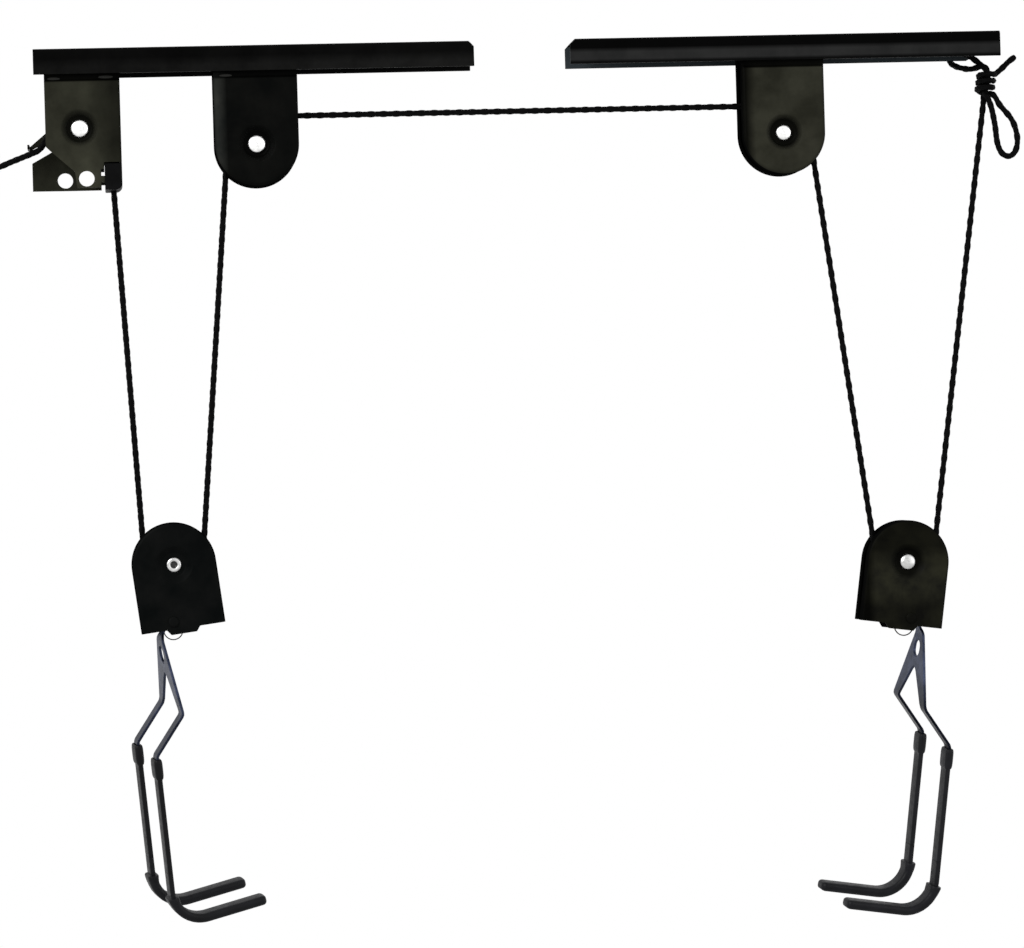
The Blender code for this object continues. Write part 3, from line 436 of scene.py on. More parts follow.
def grow(bm, edges, move):
    # Extrudes a run of edges and moves its new points; gives the new edges
    made = bmesh.ops.extrude_edge_only(bm, edges=edges)["geom"]
    fresh = {item for item in made if isinstance(item, bmesh.types.BMVert)}
    for vert in fresh:
        vert.co = move(vert.co)
    return [item for item in made if isinstance(item, bmesh.types.BMEdge) and set(item.verts) <= fresh]


def newPiece(name, bm, place=None):
    mesh = bpy.data.meshes.new(name)
    bm.to_mesh(mesh)
    bm.free()
    if place is not None:
        mesh.transform(place)
    return linked(name, mesh)


def shadeByAngle(piece, degrees=35):
    piece.data.shade_smooth()
    piece.data.set_sharp_from_angle(angle=math.radians(degrees))


def weld(bm, reach=0.000005):
    bmesh.ops.remove_doubles(bm, verts=bm.verts, dist=reach)


def stretch(bm, x=1.0, y=1.0, z=1.0):
    bmesh.ops.scale(bm, vec=(x, y, z), verts=bm.verts)


def outward(bm):
    weld(bm)
    bmesh.ops.recalc_face_normals(bm, faces=bm.faces)


def bake(piece):
    # Turns the modifiers into the piece's own mesh
    bpy.context.view_layer.update()
    graph = bpy.context.evaluated_depsgraph_get()
    mesh = bpy.data.meshes.new_from_object(piece.evaluated_get(graph))
    materials = list(piece.data.materials)
    piece.modifiers.clear()
    old = piece.data
    piece.data = mesh
    bpy.data.meshes.remove(old)
    mesh.materials.clear()
    for material in materials:
        mesh.materials.append(material)
    return piece


def easeEdges(piece, width, segments, degrees, sharp=35):
    # Rounds the edges that are steeper than an angle, shades evenly and bakes all modifiers
    shadeByAngle(piece, sharp)
    adjusted(
        piece.modifiers.new("softEdges", "BEVEL"),
        width=width,
        segments=segments,
        limit_method="ANGLE",
        angle_limit=math.radians(degrees),
        use_clamp_overlap=False,
        harden_normals=False,
    )
    adjusted(piece.modifiers.new("evenShade", "WEIGHTED_NORMAL"), keep_sharp=True, weight=100)
    bake(piece)


def cutAway(piece, *tools):
    for tool in tools:
        adjusted(piece.modifiers.new("cut", "BOOLEAN"), operation="DIFFERENCE", solver="EXACT", object=tool)
    bake(piece)
    for tool in tools:
        bpy.data.objects.remove(tool, do_unlink=True)
    return piece


def block(name, points, low, high, axis="Y"):
    # A solid between two depths, from an outline in the other two directions
    bm = bmesh.new()
    turn = {"Y": lambda a, b: (a, low, b), "X": lambda a, b: (low, a, b), "Z": lambda a, b: (a, b, low)}[axis]
    step = {"Y": (0, high - low, 0), "X": (high - low, 0, 0), "Z": (0, 0, high - low)}[axis]
    face = bm.faces.new([bm.verts.new(turn(a, b)) for a, b in points])
    raised = bmesh.ops.extrude_face_region(bm, geom=[face])["geom"]
    bmesh.ops.translate(bm, verts=[v for v in raised if isinstance(v, bmesh.types.BMVert)], vec=step)
    bmesh.ops.recalc_face_normals(bm, faces=bm.faces)
    return newPiece(name, bm)


def lathe(name, profile, place, steps, upright=False, closed=False):
    # A profile of (radius, depth) turned about Y, with depth to the back, or about Z, with depth upwards
    bm = bmesh.new()
    axis = (0.0, 0.0, 1.0) if upright else (0.0, 1.0, 0.0)
    spots = [(r, 0.0, d) if upright else (r, d, 0.0) for r, d in profile]
    verts = [bm.verts.new(spot) for spot in spots]
    edges = [bm.edges.new(pair) for pair in zip(verts, verts[1:])]
    if closed:
        edges.append(bm.edges.new((verts[-1], verts[0])))
    bmesh.ops.spin(
        bm, geom=verts + edges, cent=(0, 0, 0), axis=axis, angle=2 * math.pi, steps=steps, use_merge=True
    )
    outward(bm)
    return newPiece(name, bm, place)


def dress(piece, body, slotName, material, *nodes):
    piece.data.materials.clear()
    for finish in material if isinstance(material, tuple) else (material,):
        piece.data.materials.append(finish)
    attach(piece, body)
    if nodes:
        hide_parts(*nodes)
    return piece


places = {
    "lockAxle": (-0.3315, -0.062),
    "leftPulleyAxle": (-0.194, -0.077),
    "rightPulleyAxle": (0.223, -0.077),
    "leftBlockAxle": (-0.2683, -0.404),
    "rightBlockAxle": (0.3125, -0.420),
    "leftBlockTilt": math.radians(-7.0),
    "rightBlockTilt": math.radians(8.0),
}


def standing(x, z, tilt=0.0):
    return Matrix.Translation((x, 0.0, z)) @ Matrix.Rotation(tilt, 4, "Y")


blockPlace = {
    "left": standing(*places["leftBlockAxle"], places["leftBlockTilt"]),
    "right": standing(*places["rightBlockAxle"], places["rightBlockTilt"]),
}
mirrorOf = {"left": 1, "right": -1}

wheel = {
    "pitchRadius": 0.0225,
    "rimRadius": 0.0255,
    "rimWidth": 0.012,
    "webWidth": 0.006,
    "hubRadius": 0.009,
    "ropeLead": 0.0008,
    "lockWrapEnd": 170,
}
knot = {
    "centre": (0.3893, -0.0400),
    "turns": 3,
    "lead": 0.0085,
    "loopSteps": 48,
    "strand": 0.00265,
    "width": 0.0059,
    "depth": 0.0087,
    "anchor": (0.366, -0.0115),
    "anchorHole": 0.0045,
    "barDepth": 0.040,
    "bight": (
        (0.3925, -0.0600),
        (0.3950, -0.0740),
        (0.3965, -0.0880),
        (0.4000, -0.0965),
        (0.4060, -0.0990),
        (0.4112, -0.0945),
        (0.4128, -0.0840),
    ),
    "bightDepth": 0.0018,
    "tail": ((0.4035, 0.0055, -0.0285), (0.4095, 0.0060, -0.0230), (0.4155, 0.0060, -0.0185)),
}
pull = {
    "exit": (-0.0358, -0.0170),
    "slope": math.radians(21.0),
    "knotStart": 0.036,
    "runToLoop": 0.056,
    "loopLength": 0.040,
    "loopRadius": 0.0125,
    "whipTurns": 3,
}


def bezier(p0, p1, p2, p3, count):
    p0, p1, p2, p3 = Vector(p0), Vector(p1), Vector(p2), Vector(p3)
    points = []
    for i in range(count + 1):
        t = i / count
        s = 1 - t
        points.append(tuple(s**3 * p0 + 3 * s * s * t * p1 + 3 * s * t * t * p2 + t**3 * p3))
    return points


def smoothThrough(points, steps):
    ends = [points[0], *points, points[-1]]
    path = []
    for a, b, c, d in zip(ends, ends[1:], ends[2:], ends[3:]):
        a, b, c, d = Vector(a), Vector(b), Vector(c), Vector(d)
        path += bezier(b, b + (c - a) / 6, c - (d - b) / 6, c, steps)[:-1]
    path.append(tuple(points[-1]))
    return path


def pathLength(path):
    return sum((Vector(b) - Vector(a)).length for a, b in zip(path, path[1:]))


def evenly(path, step):
    # The same path with its points a step apart
    total = pathLength(path)
    count = max(2, round(total / step))
    spots, run, index = [Vector(path[0])], 0.0, 0
    for i in range(1, count):
        goal = total * i / count
        while run + (Vector(path[index + 1]) - Vector(path[index])).length < goal:
            run += (Vector(path[index + 1]) - Vector(path[index])).length
            index += 1
        first, second = Vector(path[index]), Vector(path[index + 1])
        spots.append(first.lerp(second, (goal - run) / (second - first).length))
    spots.append(Vector(path[-1]))
    return spots


def angleOf(point, centre):
    away = Vector(point) - Vector(centre)
    return math.degrees(math.atan2(away.y, away.x))


def tangentLine(top, topRadius, topSide, bottom, bottomSide):
    span = Vector(bottom) - Vector(top)
    u = span.normalized()
    v = Vector((-u.y, u.x))
    lean = (topSide * topRadius - bottomSide * wheel["pitchRadius"]) / span.length
    normal = u * lean + v * math.sqrt(1 - lean * lean)
    return (
        Vector(top) + normal * topSide * topRadius,
        Vector(bottom) + normal * bottomSide * wheel["pitchRadius"],
    )


def strandRelief(turn, along):
    # Height of the braid's surface at a turn (0 to 1) and a distance along
    left = rope["strands"] * (turn - along / rope["layLength"])
    right = rope["strands"] * (turn + along / rope["layLength"])
    i, j = math.floor(left), math.floor(right)
    heights = []
    for across, cell, way in ((left - i, right - 0.5, i), (right - j, left - 0.5, j + 1)):
        crown = math.sqrt(max(0.0, 1 - (2 * across - 1) ** 2))
        heights.append(crown * rope["strandHeight"] + rope["lift"] * math.cos(math.pi * (cell + way)))
    return max(heights) - rope["strandHeight"] - rope["lift"]


def tubeMesh(name, points, radius, resolution, capped=False):
    # A round tube along points, as a mesh
    curve = adjusted(
        bpy.data.curves.new(name, "CURVE"),
        dimensions="3D",
        bevel_depth=radius,
        bevel_resolution=resolution,
        use_fill_caps=capped,
    )
    spline = curve.splines.new("POLY")
    spline.points.add(len(points) - 1)
    for target, place in zip(spline.points, points):
        target.co = (*place, 1.0)
    carrier = linked(f"{name}Line", curve)
    bpy.context.view_layer.update()
    graph = bpy.context.evaluated_depsgraph_get()
    mesh = bpy.data.meshes.new_from_object(carrier.evaluated_get(graph))
    mesh.name = name
    bpy.data.objects.remove(carrier, do_unlink=True)
    return mesh


def braid(name, path, sealed=False):
    # A braided rope along a path: a curve's tube, its points then lifted as strands
    lines = evenly(path, rope["step"])
    around = rope["around"]
    mesh = tubeMesh(name, lines, rope["radius"], around // 2 - 2)
    total = pathLength(lines)
    spacing = total / (len(lines) - 1)
    layMap = mesh.uv_layers.get("lay") or mesh.uv_layers.new(name="lay")
    for i, vert in enumerate(mesh.vertices):
        ring, k = divmod(i, around)
        if ring >= len(lines):
            continue
        away = vert.co - lines[ring]
        radius = rope["radius"] + rope["proud"] + strandRelief(k / around, ring * spacing)
        if sealed:  # a melted end draws in over its last bit
            left = min(1.0, (total - ring * spacing) / rope["meltedRun"])
            radius *= rope["meltedTip"] + (1 - rope["meltedTip"]) * math.sqrt(left * (2 - left))
        vert.co = lines[ring] + away.normalized() * radius
    for polygon in mesh.polygons:
        rings = [mesh.loops[l].vertex_index % around for l in polygon.loop_indices]
        wraps = max(rings) - min(rings) > around / 2
        for l in polygon.loop_indices:
            ring, k = divmod(mesh.loops[l].vertex_index, around)
            turn = (k + around if wraps and k < around / 2 else k) / around
            layMap.data[l].uv = (
                turn * rope["strands"],
                ring * spacing / rope["layLength"] * rope["strands"],
            )
    for extra in [layer.name for layer in mesh.uv_layers if layer.name != "lay"]:
        mesh.uv_layers.remove(mesh.uv_layers[extra])
    mesh.polygons.foreach_set("use_smooth", [True] * len(mesh.polygons))
    bm = bmesh.new()
    bm.from_mesh(mesh)
    rims = [edge for edge in bm.edges if edge.is_boundary]
    for face in bmesh.ops.holes_fill(bm, edges=rims, sides=0)["faces"]:
        face.smooth = False
    bmesh.ops.recalc_face_normals(bm, faces=bm.faces)
    bm.to_mesh(mesh)
    bm.free()
    return linked(name, mesh)


def inDepth(points):
    return [(x, 0.0, z) for x, z in points]


knotLean = math.atan2(
    knot["centre"][0] - places["rightBlockAxle"][0] - wheel["pitchRadius"],
    knot["centre"][1] - places["rightBlockAxle"][1],
)
knotUp = Vector((math.sin(knotLean), math.cos(knotLean)))
knotHalf = knot["turns"] * ropePitch / 2
knotFoot = Vector(knot["centre"]) - knotUp * (knotHalf + knot["lead"])
lockLine = tangentLine(places["lockAxle"], wheel["pitchRadius"], 1, places["leftBlockAxle"], -1)
leftLine = tangentLine(places["leftPulleyAxle"], wheel["pitchRadius"], -1, places["leftBlockAxle"], 1)
rightLine = tangentLine(places["rightPulleyAxle"], wheel["pitchRadius"], 1, places["rightBlockAxle"], -1)
tieLine = tangentLine(knotFoot, 0.0, 1, places["rightBlockAxle"], 1)


def lineAt(start, end, z):
    share = (z - start[1]) / (end[1] - start[1])
    return (start[0] + (end[0] - start[0]) * share, z)


def trimmed(start, end, cutStart, cutEnd):
    along = (Vector(end) - Vector(start)).normalized()
    return [tuple(Vector(start) + along * cutStart), tuple(Vector(end) - along * cutEnd)]


guide = {
    "left": 0.0185,
    "top": 0.0280,
    "bottom": 0.0485,
    "corner": 0.005,
    "hole": 0.0031,
    "tabHeight": 0.005,
    "tabDrop": 0.0400,
    "proud": 0.0006,
    "edge": 0.0004,
}


def makeHeldRope(fibre):
    x0, z0 = places["lockAxle"]
    lead = wheel["ropeLead"]
    radius = wheel["pitchRadius"]
    split = lineAt(*lockLine, z0 - guide["bottom"] - 0.001)
    over = arc(x0, z0, radius, angleOf(lockLine[0], places["lockAxle"]), wheel["lockWrapEnd"], 48)
    turn = math.radians(wheel["lockWrapEnd"])
    leave = Vector((-math.sin(turn), math.cos(turn)))
    exitPoint = Vector((x0 + pull["exit"][0], z0 + pull["exit"][1]))
    out = Vector((-math.cos(pull["slope"]), -math.sin(pull["slope"])))
    last = exitPoint - out * lead * 2
    bend = bezier(over[-1], Vector(over[-1]) + leave * 0.0085, last - out * 0.0045, last, 24)
    leftStart = angleOf(leftLine[0], places["leftPulleyAxle"]) % 360
    rightEnd = angleOf(rightLine[0], places["rightPulleyAxle"])
    across = arc(*places["leftPulleyAxle"], radius, leftStart, 90, 32)
    across += arc(*places["rightPulleyAxle"], radius, 90, rightEnd, 32)
    framePieces = {
        "ropeOverLock": ([split, *over, *bend[1:], tuple(exitPoint)], "rope_over_lock"),
        "ropeOverPulleys": (
            [trimmed(*leftLine, lead, 0.0)[0], *across, trimmed(*rightLine, lead, 0.0)[0]],
            "rope_over_pulleys",
        ),
    }
    for name, (points, node) in framePieces.items():
        dress(braid(name, inDepth(points)), "ceiling_frame", "rope_fibre", fibre, node)
    spans = {
        "ropeLockFall": (trimmed(split, lockLine[1], 0.0, lead), "rope_lock_fall", "left_fall"),
        "ropeLeftFall": (trimmed(*leftLine, lead, lead), "rope_left_fall", "left_fall"),
        "ropeRightFall": (trimmed(*rightLine, lead, lead), "rope_right_fall", "right_fall"),
        "ropeTiedFall": (trimmed(*tieLine, 0.0, lead), "rope_tied_fall", "right_fall"),
    }
    for name, (points, node, fall) in spans.items():
        ends = inDepth(points)
        span = braid(name, ends)
        span.data.materials.append(fibre)
        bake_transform(span)
        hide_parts(node)
    for side, axle, down, up in (
        ("left", places["leftBlockAxle"], lockLine, leftLine),
        ("right", places["rightBlockAxle"], rightLine, tieLine),
    ):
        begin = angleOf(down[1], axle) % 360
        end = angleOf(up[1], axle) % 360
        if end < begin:
            end += 360
        points = [trimmed(*down, 0.0, lead)[1], *arc(*axle, radius, begin, end, 48)]
        points.append(trimmed(*up[::-1], lead, 0.0)[0])
        under = braid(f"{side}RopeUnderBlock", inDepth(points))
        dress(under, f"{side}_fall", "rope_fibre", fibre, f"rope_under_{side}_block")
    return exitPoint, out


def onKnot(side, y, up):
    across = Vector((knotUp.y, -knotUp.x))
    place = Vector(knot["centre"]) + across * side + knotUp * up
    return (place.x, y, place.y)


def knotPath():
    # Up through the knot and the bar's hole, down again, round the bight, three turns, and the tail
    strand = knot["strand"]
    hole = Vector((knot["anchor"][0], knot["barDepth"] / 2 - fit["barSheet"] / 2, knot["anchor"][1]))

    def atHole(x, y, z):
        return tuple(hole + Vector((x, y, z)))

    upToBar = [
        onKnot(0.0, 0.0, -knotHalf - knot["lead"]),
        onKnot(0.0, 0.0002, -knotHalf - knot["lead"] + 0.0015),
        onKnot(0.0, strand * 0.68, -knotHalf - 0.0036),
        onKnot(0.0, strand, -knotHalf),
        onKnot(0.0, strand, knotHalf * 0.7),
        onKnot(-0.0005, strand + 0.0016, knotHalf + 0.0040),
        atHole(0.0125, -0.0110, -0.0060),
        atHole(0.0030, -0.0055, -0.0008),
        atHole(0.0002, -0.0010, 0.0),
    ]
    backDown = [
        atHole(-0.0008, 0.0034, -0.0010),
        atHole(-0.0010, 0.0050, -0.0056),
        atHole(0.0010, 0.0030, -0.0105),
        atHole(0.0050, -0.0030, -0.0138),
        atHole(0.0125, -0.0120, -0.0164),
        onKnot(-0.0030, -0.0004, knotHalf + 0.0050),
        onKnot(0.0003, -strand, knotHalf * 0.8),
        onKnot(0.0, -strand, -knotHalf),
    ]
    bight = [
        onKnot(0.0020, -strand - 0.0017, -knotHalf - 0.0036),
        *((x, -strand - knot["bightDepth"], z) for x, z in knot["bight"]),
        (0.4090, -strand - 0.0020, -0.0705),
        onKnot(0.0125, -strand - 0.0020, -knotHalf - 0.0085),
        onKnot(0.0086, -strand - 0.0017, -knotHalf - 0.0032),
        onKnot(0.0064, -0.0026, -knotHalf - 0.0007),
    ]
    wraps = []
    for i in range(knot["turns"] * knot["loopSteps"] + 1):
        turn = 2 * math.pi * i / knot["loopSteps"]
        rise = ropePitch * i / knot["loopSteps"] - knotHalf
        wraps.append(onKnot(knot["width"] * math.cos(turn), knot["depth"] * math.sin(turn), rise))
    tail = [onKnot(knot["width"] + 0.0018, 0.0032, knotHalf + 0.0008), *knot["tail"]]
    down = smoothThrough(upToBar + backDown + bight + wraps[:1], 8)
    out = smoothThrough([wraps[-1]] + tail, 8)
    return down[:-1] + wraps + out[1:]


def makePullRope(fibre, exitPoint, out):
    # The pull end: straight out of the lock to a hand loop, whipped with rope
    up = Vector((-out.y, out.x))
    if up.y < 0:
        up = -up
    side = rope["radius"] + fit["ropeGap"] / 2 + 0.0001

    def at(along, over):
        place = Vector(exitPoint) + out * along + up * over
        return (place.x, 0.0, place.y)

    start, run = pull["knotStart"], pull["runToLoop"]
    straight = [at((start - 0.006) * i / 3, 0.0) for i in range(4)]
    through = [at(start, side * 0.8), at(start + 0.008, side), at(run, side)]
    far = run + pull["loopLength"]
    radius = pull["loopRadius"]
    bow = [at(far - 0.028, side + 0.0035), at(far - 0.018, radius * 0.85)]
    turn = []
    for i in range(7):
        a = math.pi / 2 - math.pi * i / 6
        turn.append(at(far - radius + radius * math.cos(a), radius * math.sin(a)))
    back = [at(far - 0.018, -radius * 0.85), at(far - 0.028, -side - 0.0035)]
    home = [at(run, -side), at(start + 0.008, -side), at(start + 0.003, -side)]
    path = smoothThrough(straight + through + bow + turn + back + home, 8)
    pullPiece = dress(braid("pullRope", path, sealed=True), "ceiling_frame", "rope_fibre", fibre, "pull_rope")
    steps = knot["loopSteps"]
    wide = ropePitch + side + 0.0008
    deep = ropePitch + 0.0006
    wraps = []
    for i in range(pull["whipTurns"] * steps + 1):
        a = 2 * math.pi * i / steps
        place = at(start + 0.004 + ropePitch * i / steps, wide * math.cos(a))
        wraps.append((place[0], deep * math.sin(a), place[2]))
    whipping = braid("pullRopeWhipping", wraps, sealed=True)
    dress(whipping, "ceiling_frame", "rope_fibre", fibre, "pull_rope_whipping")
    route = [tuple(p) for p in evenly(path, 0.003)]


ropeFibre = ropeFinish()
ropeExit, ropeOut = makeHeldRope(ropeFibre)
dress(braid("ropeTie", knotPath(), sealed=True), "ceiling_frame", "rope_fibre", ropeFibre, "rope_tie")
makePullRope(ropeFibre, ropeExit, ropeOut)
print("ropes ready")

bar = {
    "length": 0.344,
    "depth": 0.040,
    "height": 0.020,
    "foldRadius": 0.0030,
    "leftX": -0.366,
    "rightX": 0.054,
    "chamfer": 0.005,
    "toe": (0.022, 0.011),
    "slotLength": 0.020,
    "slotWidth": 0.008,
    "slotNear": 0.040,
    "slotPastPulley": 0.060,
    "rivetSpacing": 0.030,
    "rivetRadius": 0.0025,
    "rivetHead": 0.0045,
    "rivetTail": 0.002,
    "edge": 0.00028,
}
rivetMiddles = {
    "lock": (places["lockAxle"][0] + (fit["lockRight"] - fit["lockLeft"]) / 2, "left"),
    "left": (places["leftPulleyAxle"][0], "left"),
    "right": (places["rightPulleyAxle"][0], "right"),
}


def makeBar(side, outerSide, leftEnd, material):
    half, low, wall = bar["depth"] / 2, -bar["height"], fit["barSheet"]
    inner = half - wall
    outerLoop = roundedPath([(-half, low), (-half, 0.0), (half, 0.0), (half, low)], [bar["foldRadius"]] * 2)
    innerBends = [bar["foldRadius"] - wall * 0.6] * 2
    innerLoop = roundedPath([(inner, low), (inner, -wall), (-inner, -wall), (-inner, low)], innerBends)
    rightEnd = leftEnd + bar["length"]
    piece = block(f"{side}CeilingBar", outerLoop + innerLoop, leftEnd, rightEnd, "X")
    near = rightEnd - bar["slotNear"] if side == "left" else leftEnd + bar["slotNear"]
    distant = places[f"{side}PulleyAxle"][0] + outerSide * bar["slotPastPulley"]
    tools = []
    seat = [
        (0.0, 0.001),
        (bar["rivetHead"] + fit["gap"] + 0.0008, 0.001),
        (bar["rivetRadius"] + fit["gap"], -0.0002 - wall * 0.8),
        (bar["rivetRadius"] + fit["gap"], -wall - 0.001),
        (0.0, -wall - 0.001),
    ]
    for middle, barSide in rivetMiddles.values():
        for step in (-0.5, 0.5) if barSide == side else ():
            x = middle + step * bar["rivetSpacing"]
            tools.append(lathe("seatTool", seat, Matrix.Translation((x, 0, 0)), 32, upright=True))
    for x in (near, distant):
        slot = slotOutline(x, 0.0, bar["slotLength"], bar["slotWidth"])
        tools.append(block("slotTool", slot, -0.01, 0.01, "Z"))
    innerEnd, outerEnd = (leftEnd, rightEnd) if outerSide > 0 else (rightEnd, leftEnd)
    reach = bar["chamfer"] * outerSide
    corner = [(innerEnd - reach, 0.001), (innerEnd + reach, 0.001), (innerEnd - reach, -2 * bar["chamfer"])]
    tools.append(block("cornerTool", corner, -half - 0.001, half + 0.001))
    toeX, toeZ = bar["toe"]
    toe = [
        (outerEnd + 0.002 * outerSide, low - 0.001),
        (outerEnd - toeX * outerSide, low - 0.001),
        (outerEnd + 0.002 * outerSide, low + toeZ),
    ]
    tools.append(block("toeTool", toe, inner - 0.001, half + 0.001))
    if side == "right":
        hole = ringOutline(*knot["anchor"], knot["anchorHole"], 40)
        tools.append(block("anchorTool", hole, inner - 0.002, half + 0.002))
    cutAway(piece, *tools)
    bm = bmesh.new()
    bm.from_mesh(piece.data)
    weld(bm, 0.00001)
    bm.to_mesh(piece.data)
    bm.free()
    easeEdges(piece, bar["edge"], 2, 40, 30)
    dress(piece, "ceiling_frame", "black_steel", material, f"{side}_bar")
    for face in piece.data.polygons:  # the rear flange's inner face is seen under the front one; it takes the second finish, on the right bar a painted reflection
        if face.normal.y < -0.9 and face.center.y > 0.0:
            face.material_index = 1


def makeBarRivet(name, node, x):
    under = -fit["barSheet"] - fit["gap"] - fit["sheet"] - fit["gap"]
    head, stem = bar["rivetHead"], bar["rivetRadius"]
    profile = [(0.0, -0.0002), (head - 0.0006, -0.0002), (head - 0.0004, -0.0004)]
    profile += [(stem, -0.0002 - fit["barSheet"] * 0.8), (stem, under), (head, under)]
    for a in quarter(8):
        profile.append((head * math.cos(a), under - bar["rivetTail"] * math.sin(a)))
    profile[-1] = (0.0, profile[-1][1])
    piece = lathe(name, profile, Matrix.Translation((x, 0, 0)), 40, upright=True)
    shadeByAngle(piece)
    dress(piece, "ceiling_frame", "zinc_steel", plainZinc, node)


plainZinc = zincFinish("zincSteel")
barPaint = {
    # Painted light and shade on the left bar: darker towards its left end, and a painted sheen along the lower
    # part of the front
    "left": paintFinish(
        "leftBarPaint",
        (0.0022, 0.0022, 0.0021),
        (0.0046, 0.0046, 0.0044),
        [("X", -0.27, -0.12, 0.5, 0.8), ("Z", -0.015, -0.008, 2.8, 0.8)],
    ),
    # The right bar is a lit copy of the same black paint, with painted shade on the upper front, along the
    # lower edge and behind the front face
    "right": paintFinish(
        "rightBarPaint",
        (0.0130, 0.0132, 0.0132),
        (0.0200, 0.0202, 0.0200),
        [
            ("Z", -0.0112, -0.0078, 1.0, 0.05),
            ("Z", -0.0186, -0.0166, 0.14, 1.0),
            ("Y", -0.018, -0.017, 1.0, 0.2),
        ],
    ),
    "leftInside": paintFinish("leftBarInside", (0.0020, 0.0020, 0.0020), (0.0040, 0.0040, 0.0040)),
    # A painted bluish reflection on the inner face of the right bar's rear flange
    "rightInsideSheen": paintFinish("rightBarInsideSheen", (0.0230, 0.0290, 0.0320), (0.0330, 0.0400, 0.0450)),
}
makeBar("left", -1, bar["leftX"], (barPaint["left"], barPaint["leftInside"]))
makeBar("right", 1, bar["rightX"], (barPaint["right"], barPaint["rightInsideSheen"]))
for key, (middle, barSide) in rivetMiddles.items():
    for letter, step in (("a", -0.5), ("b", 0.5)):
        node = f"{key}_bracket_rivet_{letter}"
        makeBarRivet(f"{key}BarRivet{letter.upper()}", node, middle + step * bar["rivetSpacing"])
print("bars ready")

housing = {
    "radius": 0.033,
    "fold": 0.0032,
    "foldSteps": 6,
    "flange": 0.0085,
    "blockDrop": 0.050,
    "tongueWidth": 0.026,
    "tongueDrop": 0.004,
    "earInset": 0.0012,
    "joggle": 0.0013,
    "joggleHeight": 0.0055,
    "behindBar": 0.003,
    "dishRadius": 0.014,
    "dishFloor": 0.0095,
    "dishMargin": 0.0030,
    "webFold": 0.0026,
    "sides": 12,
    "arch": 48,
    "edge": 0.0003,
}


def pressDish(bm, edges, radius, face):
    # Presses a dish inwards from a circle of edges; its floor bears on the wheel's hub
    depth = face - seatDepth
    wide, floor = housing["dishRadius"], housing["dishFloor"]
    hole = fit["axleRadius"] + fit["gap"]
    steps = [(wide + 0.0011, 0.0), (wide + 0.0003, 0.05), (wide - 0.0003, 0.14)]
    steps += [(wide * 0.5 + floor * 0.5, 0.5), (floor + 0.0004, 0.88), (floor - 0.0003, 0.97)]
    steps += [(floor - 0.0012, 1.0), (hole, 1.0)]
    current = radius
    for nextRadius, share in steps:
        scale = nextRadius / current
        target = -face + depth * share
        edges = grow(bm, edges, lambda co, s=scale, y=target: Vector((co.x * s, y, co.z * s)))
        current = nextRadius


def outDirection(co):
    if co.z > 0.0:
        return Vector((co.x, 0.0, co.z)).normalized()
    return Vector((1.0 if co.x > 0 else -1.0, 0.0, 0.0))


def foldBack(bm, edges, radius, depth, steps):
    # Turns an arch's edge back into a flange of this depth
    before = 0.0
    for a in quarter(steps):
        out = radius * (math.sin(a) - math.sin(before))
        back = radius * (math.cos(before) - math.cos(a))
        edges = grow(bm, edges, lambda co, o=out, b=back: co + outDirection(co) * o + Vector((0.0, b, 0.0)))
        before = a
    grow(bm, edges, lambda co: co + Vector((0.0, depth - radius, 0.0)))


def shellSurface(bm, face, level, footSpots):
    # The outer face of one stamped half, arch up: flat panel, folded flange and dish; gives the foot's edges
    inset = housing["radius"] - housing["fold"]
    archCount, sides = housing["arch"], housing["sides"]
    arch = arc(0.0, 0.0, inset, 180, 0, archCount)
    right = [(inset, -level * i / sides) for i in range(1, sides)]
    left = [(-x, z) for x, z in reversed(right)]
    outline = [*arch, *right, *((x, -level) for x in footSpots), *left]
    verts, edges = addLoop(bm, [(x, -face, z) for x, z in outline])
    circle = housing["dishRadius"] + housing["dishMargin"]
    rest = len(outline) - archCount
    inner = []
    for i in range(len(outline)):  # as many points round the dish: half for the arch, half for the rest
        a = math.pi * (1 - i / archCount) if i <= archCount else -math.pi * (i - archCount) / rest
        inner.append((circle * math.cos(a), -face, circle * math.sin(a)))
    _, innerEdges = addLoop(bm, inner)
    bmesh.ops.bridge_loops(bm, edges=edges + innerEdges)
    pressDish(bm, innerEdges, circle, face)
    footVerts = {v for v in verts if abs(v.co.z + level) < tiny}
    rim = [e for e in edges if not set(e.verts) <= footVerts]
    foldBack(bm, rim, housing["fold"], housing["flange"], housing["foldSteps"])
    return [e for e in edges if set(e.verts) <= footVerts]


def faceForward(bm):
    # Points an open sheet's faces to the front before it gets its thickness
    outward(bm)
    lowest = min(bm.faces, key=lambda f: (round(f.calc_center_median().y, 5), -f.calc_area()))
    if lowest.normal.y > 0:
        bmesh.ops.reverse_faces(bm, faces=bm.faces)


def thicken(piece, thickness, offset, rimStep=0):
    # The sheet's thickness, still as a modifier; the rim may take a later finish
    adjusted(
        piece.modifiers.new("sheet", "SOLIDIFY"),
        thickness=thickness,
        offset=offset,
        use_even_offset=True,
        material_offset_rim=rimStep,
    )


